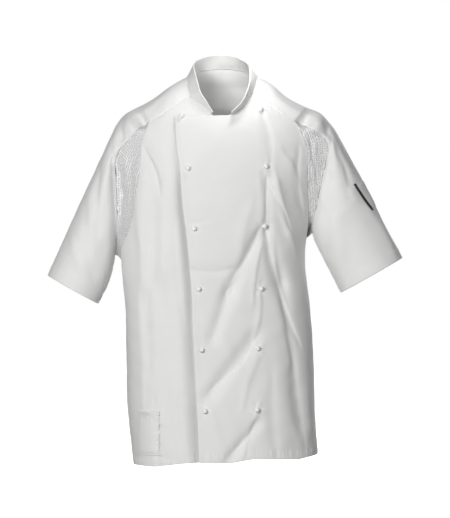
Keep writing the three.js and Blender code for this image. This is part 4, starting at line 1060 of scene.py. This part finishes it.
def binding_tape():
    """Black polyester herringbone binding tape: fine ribs across, dull."""
    if "binding_tape" in bpy.data.materials:
        return bpy.data.materials["binding_tape"]
    made, tree, shader = new_material("binding_tape")
    uv = node(tree, "ShaderNodeUVMap", uv_map="cloth").outputs[0]
    ribs = node(tree, "ShaderNodeTexWave", [
        ("Vector", uv), ("Scale", 260.0), ("Distortion", 0.4)], bands_direction="X")
    shade = node(tree, "ShaderNodeMapRange", [
        ("Value", ribs.outputs["Fac"]), ("To Min", 0.75), ("To Max", 1.25)])
    black = node(tree, "ShaderNodeVectorMath", [
        (0, tuple(colours().tape)[:3]), ("Scale", shade.outputs[0])], operation="SCALE")
    add_bump(tree, shader, ribs.outputs["Fac"], 0.5, 0.0002)
    tree.links.new(black.outputs[0], shader.inputs["Base Color"])
    shader.inputs["Roughness"].default_value = 0.7
    return made


# ---- operators, one for each piece or group of like pieces

def build_panel(name, material):
    """The closed wall of a worn panel, riding the body in place of its solid."""
    panel = cloth(name)
    obj = wall(name + "_cloth", panel.grid, panel.normals, panel.thickness, material)
    return declare(obj, name, panel.grid)


class JacketOperator:
    """What the jacket's operators share."""
    bl_options = {"REGISTER", "UNDO"}


class JACKET_OT_fronts(JacketOperator, bpy.types.Operator):
    """Build both fronts, the overlap and the under front, with folds and turned edges"""
    bl_idname = "jacket.fronts"
    bl_label = "Fronts"

    def execute(self, context):
        build_panel("front_left", cotton_twill())
        build_panel("front_right", cotton_twill())
        return {"FINISHED"}


class JACKET_OT_back(JacketOperator, bpy.types.Operator):
    """Build the back"""
    bl_idname = "jacket.back"
    bl_label = "Back"

    def execute(self, context):
        build_panel("back", cotton_twill())
        return {"FINISHED"}


class JACKET_OT_sleeves(JacketOperator, bpy.types.Operator):
    """Build both raglan sleeves with their turned cuffs"""
    bl_idname = "jacket.sleeves"
    bl_label = "Sleeves"

    def execute(self, context):
        for name in ("sleeve_right", "sleeve_left"):
            build_panel(name, cotton_twill())
        return {"FINISHED"}


class JACKET_OT_gussets(JacketOperator, bpy.types.Operator):
    """Build both net gussets under the arms"""
    bl_idname = "jacket.gussets"
    bl_label = "Net gussets"

    def execute(self, context):
        for name in ("gusset_right", "gusset_left"):
            build_panel(name, polyester_net())
        return {"FINISHED"}


class JACKET_OT_collar(JacketOperator, bpy.types.Operator):
    """Build the stand collar"""
    bl_idname = "jacket.collar"
    bl_label = "Collar"

    def execute(self, context):
        build_panel("collar", cotton_twill())
        return {"FINISHED"}


class JACKET_OT_hip_pocket(JacketOperator, bpy.types.Operator):
    """Build the patch pocket low on the wearer's right front"""
    bl_idname = "jacket.hip_pocket"
    bl_label = "Hip pocket"

    def execute(self, context):
        thick = sizes().cloth / MM
        p = HIP_POCKET
        wide, tall = p["right"] - p["left"], p["top"] - p["bottom"]
        s, t = np.meshgrid(spacing(wide, 1.6), spacing(tall, 1.8), indexing="ij")
        x, z = p["left"] + wide * s, p["bottom"] + tall * t
        top = (1 - t) * tall
        sides = np.minimum(s, 1 - s) * wide
        gape = 3.4 * np.exp(-((x + 150) / 13) ** 2) * np.exp(-(top / 7) ** 2)
        puff = 1.2 * ease(sides / 9) * ease((t * tall) / 9)
        ripple = pucker((1 - s) * wide, z, 6, 10, 81) * 1.4 + pucker(top - 14, x, 6, 9, 82) * 0.8
        ripple += stitched((1 - s) * wide, 2.2, 0.4) + stitched(t * tall, 2.2, 0.4)
        grid, _ = front_at(x, z, under_point, thick * 1.15 + puff + gape + ripple)
        double = band(top, 13, 0.6)
        obj = wall("hip_pocket_cloth", grid, normals_of(grid), thick * (1 + double), cotton_twill())
        declare(obj, "hip_pocket", grid)
        return {"FINISHED"}


def on_sleeve(at, degrees, lift):
    """Points above the front half of the left sleeve by station and degrees from its top."""
    def bare(da, dr):
        sweep = station(SLEEVE_LEFT, at + da)[6]
        return sleeve_point(SLEEVE_LEFT, at + da, np.ones(at.shape), (degrees + dr) / sweep)
    normals = np.cross(bare(0.02, 0) - bare(-0.02, 0), bare(0, -0.5) - bare(0, 0.5))
    normals /= np.linalg.norm(normals, axis=-1, keepdims=True)
    points = bare(0, 0)
    return points + normals * (worn(points, normals) + lift)[..., None]


class JACKET_OT_pen_pocket(JacketOperator, bpy.types.Operator):
    """Build the pen pocket on the left sleeve and its black bound mouth"""
    bl_idname = "jacket.pen_pocket"
    bl_label = "Pen pocket"

    def execute(self, context):
        thick = sizes().cloth / MM
        p = PEN_POCKET
        s, t = np.meshgrid(spacing(56, 1.6), spacing(40, 1.6), indexing="ij")
        at = CUFF * mix(p["start"], p["end"], s)
        mouth = mix(p["mouth_start"], p["mouth_end"], s)
        side = np.minimum(np.minimum(s, 1 - s) * 56, (1 - t) * 40)
        channel = stitched(side, 2.2, 0.4)
        puff = 0.9 * ease(side / 8)
        grid = on_sleeve(at, mix(mouth, p["ridge"], t), thick * 1.15 + puff + channel)
        obj = wall("pen_pocket_cloth", grid, normals_of(grid), thick, cotton_twill())
        declare(obj, "pen_pocket", grid)
        s, t = np.meshgrid(np.linspace(0, 1, 60), np.linspace(0, 1, 9), indexing="ij")
        at = CUFF * mix(p["start"] - 0.004, p["end"] + 0.004, s)
        crown = 0.9 * np.sqrt(np.maximum(1 - (2 * t - 1) ** 2, 0))
        turn = mix(p["mouth_start"], p["mouth_end"], s) + mix(p["tape"] + 0.8, -0.6, t)
        grid = on_sleeve(at, turn, thick * 1.3 + 0.5 + crown)
        obj = wall("pen_binding_tape", grid, normals_of(grid), thick, binding_tape())
        declare(obj, "pen_binding", grid)
        return {"FINISHED"}


class JACKET_OT_studs(JacketOperator, bpy.types.Operator):
    """Build the twelve ball studs on the overlap"""
    bl_idname = "jacket.studs"
    bl_label = "Ball studs"

    def execute(self, context):
        radius = sizes().stud / MM
        turn, rise = np.meshgrid(np.linspace(0, 2 * np.pi, 29)[:-1], np.linspace(0, 1, 19), indexing="ij")
        polar = np.pi * (1 - rise)
        out = radius * np.maximum(np.sin(polar), 0.0)
        high = radius * (1.02 + 0.94 * np.cos(polar))
        foot = rise < 0.16
        out = np.where(foot, 2.1 + 3.6 * (0.16 - rise), out)
        names, points, faces = [], [], []
        n, m = turn.shape
        quads = quads_of(n, m, closed=True)
        for side, places in (("left", STUDS_LEFT), ("right", STUDS_RIGHT)):
            for number, (x, z) in enumerate(places, 1):
                foot_at, normal = front_at(np.array([x]), np.array([z]), body_point, 0.3)
                up = normal[0]
                across = np.cross(up, (0.0, 0.0, 1.0))
                across /= np.linalg.norm(across)
                over = np.cross(up, across)
                spin = across * np.cos(turn)[..., None] + over * np.sin(turn)[..., None]
                ball = foot_at[0] - up * 1.9 + spin * out[..., None] + up * high[..., None]
                faces.append(quads + len(points) * n * m)
                points.append(ball.reshape(-1, 3))
                names.append(f"stud_{side}_{number}")
        obj = place_mesh("ball_studs", np.concatenate(points), np.concatenate(faces), moulded_nylon())
        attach(obj, "root")
        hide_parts(*names)
        return {"FINISHED"}


class JACKET_OT_buttonholes(JacketOperator, bpy.types.Operator):
    """Work the stitched buttonholes of both rows of studs"""
    bl_idname = "jacket.buttonholes"
    bl_label = "Buttonholes"

    def execute(self, context):
        long, half, radius = 17.0, 1.05, 0.55
        turn, round_ = np.meshgrid(
            np.linspace(0, 2 * np.pi, 49)[:-1], np.linspace(0, 2 * np.pi, 7)[:-1], indexing="ij")
        points, faces = [], []
        n, m = turn.shape
        i, j = np.meshgrid(np.arange(n), np.arange(m), indexing="ij")
        k = lambda a, b: ((a % n) * m + b % m).ravel()
        quads = np.stack([k(i, j), k(i, j + 1), k(i + 1, j + 1), k(i + 1, j)], 1)
        for x, z in np.concatenate([STUDS_LEFT, STUDS_RIGHT]):
            bead = radius * (1 + 0.12 * np.cos(24 * turn))
            wide = half + bead * np.cos(round_)
            px = x + 6.5 + long / 2 * np.sign(np.cos(turn)) * np.abs(np.cos(turn)) ** 0.35
            pz = z + wide * np.sin(turn)
            grid, _ = front_at(px, pz, body_point, 0.45 + bead * np.sin(round_))
            faces.append(quads + len(points) * n * m)
            points.append(grid.reshape(-1, 3))
        obj = place_mesh(
            "buttonhole_stitching", np.concatenate(points), np.concatenate(faces), sewing_thread())
        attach(obj, "root")
        return {"FINISHED"}


class JACKET_OT_stitching(JacketOperator, bpy.types.Operator):
    """Sew the top-stitching along hems, cuffs, seams, collar and the overlap's edge"""
    bl_idname = "jacket.stitching"
    bl_label = "Top-stitching"

    def execute(self, context):
        size = sizes()
        hem, cuff, facing = size.hem / MM, size.cuff / MM, size.facing / MM
        left, right, back = cloth("front_left"), cloth("front_right"), cloth("back")
        rows = [panel.line("low", hem) for panel in (left, right, back)]
        rows.append(left.line("start", facing))
        for name in ("sleeve_right", "sleeve_left"):
            sleeve = cloth(name)
            rows.append(sleeve.line("end", cuff))
            rows += [tuple(part[3:-3] for part in sleeve.line(edge, 6.0)) for edge in ("low", "high")]
        collar = cloth("collar")
        rows += [collar.line("high", 5.2), collar.line("low", 2.4), collar.line("low", 3.0, -0.01)]
        obj = stitch_rows("top_stitching", rows, sewing_thread())
        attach(obj, "root")
        return {"FINISHED"}


class JACKET_OT_stage(JacketOperator, bpy.types.Operator):
    """Set the camera, the soft lights, the pale floor and the white air round it"""
    bl_idname = "jacket.stage"
    bl_label = "Stage"

    def execute(self, context):
        scene = context.scene
        lens = bpy.data.cameras.new("camera")
        lens.sensor_fit = "VERTICAL"
        lens.sensor_height = 24.0
        lens.lens = lens.sensor_height * CAMERA_OFF / FRAME_TALL
        camera = bpy.data.objects.new("camera", lens)
        camera.location = (FRAME_MIDDLE[0], -CAMERA_OFF, FRAME_MIDDLE[1])
        camera.rotation_euler = (np.pi / 2, 0, 0)
        scene.collection.objects.link(camera)
        scene.camera = camera
        out, turn = np.meshgrid(
            np.linspace(0, 1, 9) ** 2 * FLOOR_RADIUS, np.linspace(0, 2 * np.pi, 65), indexing="ij")
        level = np.full(out.shape, FLOOR_LEVEL)
        grid = np.stack([out * np.cos(turn), out * np.sin(turn), level], -1) / MM
        made, tree, shader = new_material("matt_paper")
        place = node(tree, "ShaderNodeTexCoord").outputs["Object"]
        grain = node(tree, "ShaderNodeTexNoise", [("Vector", place), ("Scale", 60.0)])
        add_bump(tree, shader, grain.outputs["Fac"], 0.05, 0.0005)
        shader.inputs["Base Color"].default_value = tuple(colours().floor)
        shader.inputs["Roughness"].default_value = 0.95
        shader.inputs["Specular IOR Level"].default_value = 0.1
        shader.inputs["Emission Color"].default_value = (1, 1, 1, 1)
        shader.inputs["Emission Strength"].default_value = 1.0
        floor = place_mesh("floor", grid.reshape(-1, 3), quads_of(*grid.shape[:2]), made)
        floor.visible_diffuse = False
        world = bpy.data.worlds.new("studio")
        world.use_nodes = True
        tree = world.node_tree
        tree.nodes.clear()
        seen = node(tree, "ShaderNodeLightPath").outputs["Is Camera Ray"]
        level = node(tree, "ShaderNodeMapRange", [("Value", seen), ("To Min", AIR_LIGHT), ("To Max", 1.0)])
        air = node(tree, "ShaderNodeBackground", [("Color", (1, 1, 1, 1)), ("Strength", level.outputs[0])])
        node(tree, "ShaderNodeOutputWorld", [("Surface", air.outputs[0])])
        scene.world = world
        scene.view_settings.view_transform = "Standard"
        for name, at, aim, size_, power in LIGHTS:
            light = bpy.data.lights.new(name, "AREA")
            light.shape, light.size, light.energy = "SQUARE", size_, power
            lamp = bpy.data.objects.new(name, light)
            lamp.location = at
            lamp.visible_camera = False
            toward = np.array(aim) - np.array(at)
            flat = np.hypot(toward[0], toward[1])
            lamp.rotation_euler = (np.arctan2(flat, -toward[2]), 0, np.arctan2(-toward[0], toward[1]))
            scene.collection.objects.link(lamp)
        return {"FINISHED"}


OPERATORS = (
    JACKET_OT_fronts, JACKET_OT_back, JACKET_OT_sleeves, JACKET_OT_gussets, JACKET_OT_collar,
    JACKET_OT_hip_pocket, JACKET_OT_pen_pocket, JACKET_OT_studs, JACKET_OT_buttonholes,
    JACKET_OT_stitching, JACKET_OT_stage,
)


class JACKET_PT_build(bpy.types.Panel):
    """Lists the jacket's pieces, sizes and colours"""
    bl_idname = "JACKET_PT_build"
    bl_label = "Chef jacket"
    bl_space_type = "VIEW_3D"
    bl_region_type = "UI"
    bl_category = "Jacket"

    def draw(self, context):
        for operator in OPERATORS:
            self.layout.operator(operator.bl_idname)
        for group in (context.scene.jacket_sizes, context.scene.jacket_colours):
            for name in group.__annotations__:
                self.layout.prop(group, name)


CLASSES = (JacketSizes, JacketColours, *OPERATORS, JACKET_PT_build)


def register():
    """Registers the classes and the scene's two groups of properties."""
    for item in CLASSES:
        bpy.utils.register_class(item)
    bpy.types.Scene.jacket_sizes = bpy.props.PointerProperty(type=JacketSizes)
    bpy.types.Scene.jacket_colours = bpy.props.PointerProperty(type=JacketColours)


def unregister():
    """Takes the classes and properties out again."""
    del bpy.types.Scene.jacket_colours
    del bpy.types.Scene.jacket_sizes
    for item in reversed(CLASSES):
        bpy.utils.unregister_class(item)


def main():
    register()
    for operator in OPERATORS:
        group, name = operator.bl_idname.split(".")
        getattr(getattr(bpy.ops, group), name)()


if __name__ == "__main__":
    main()
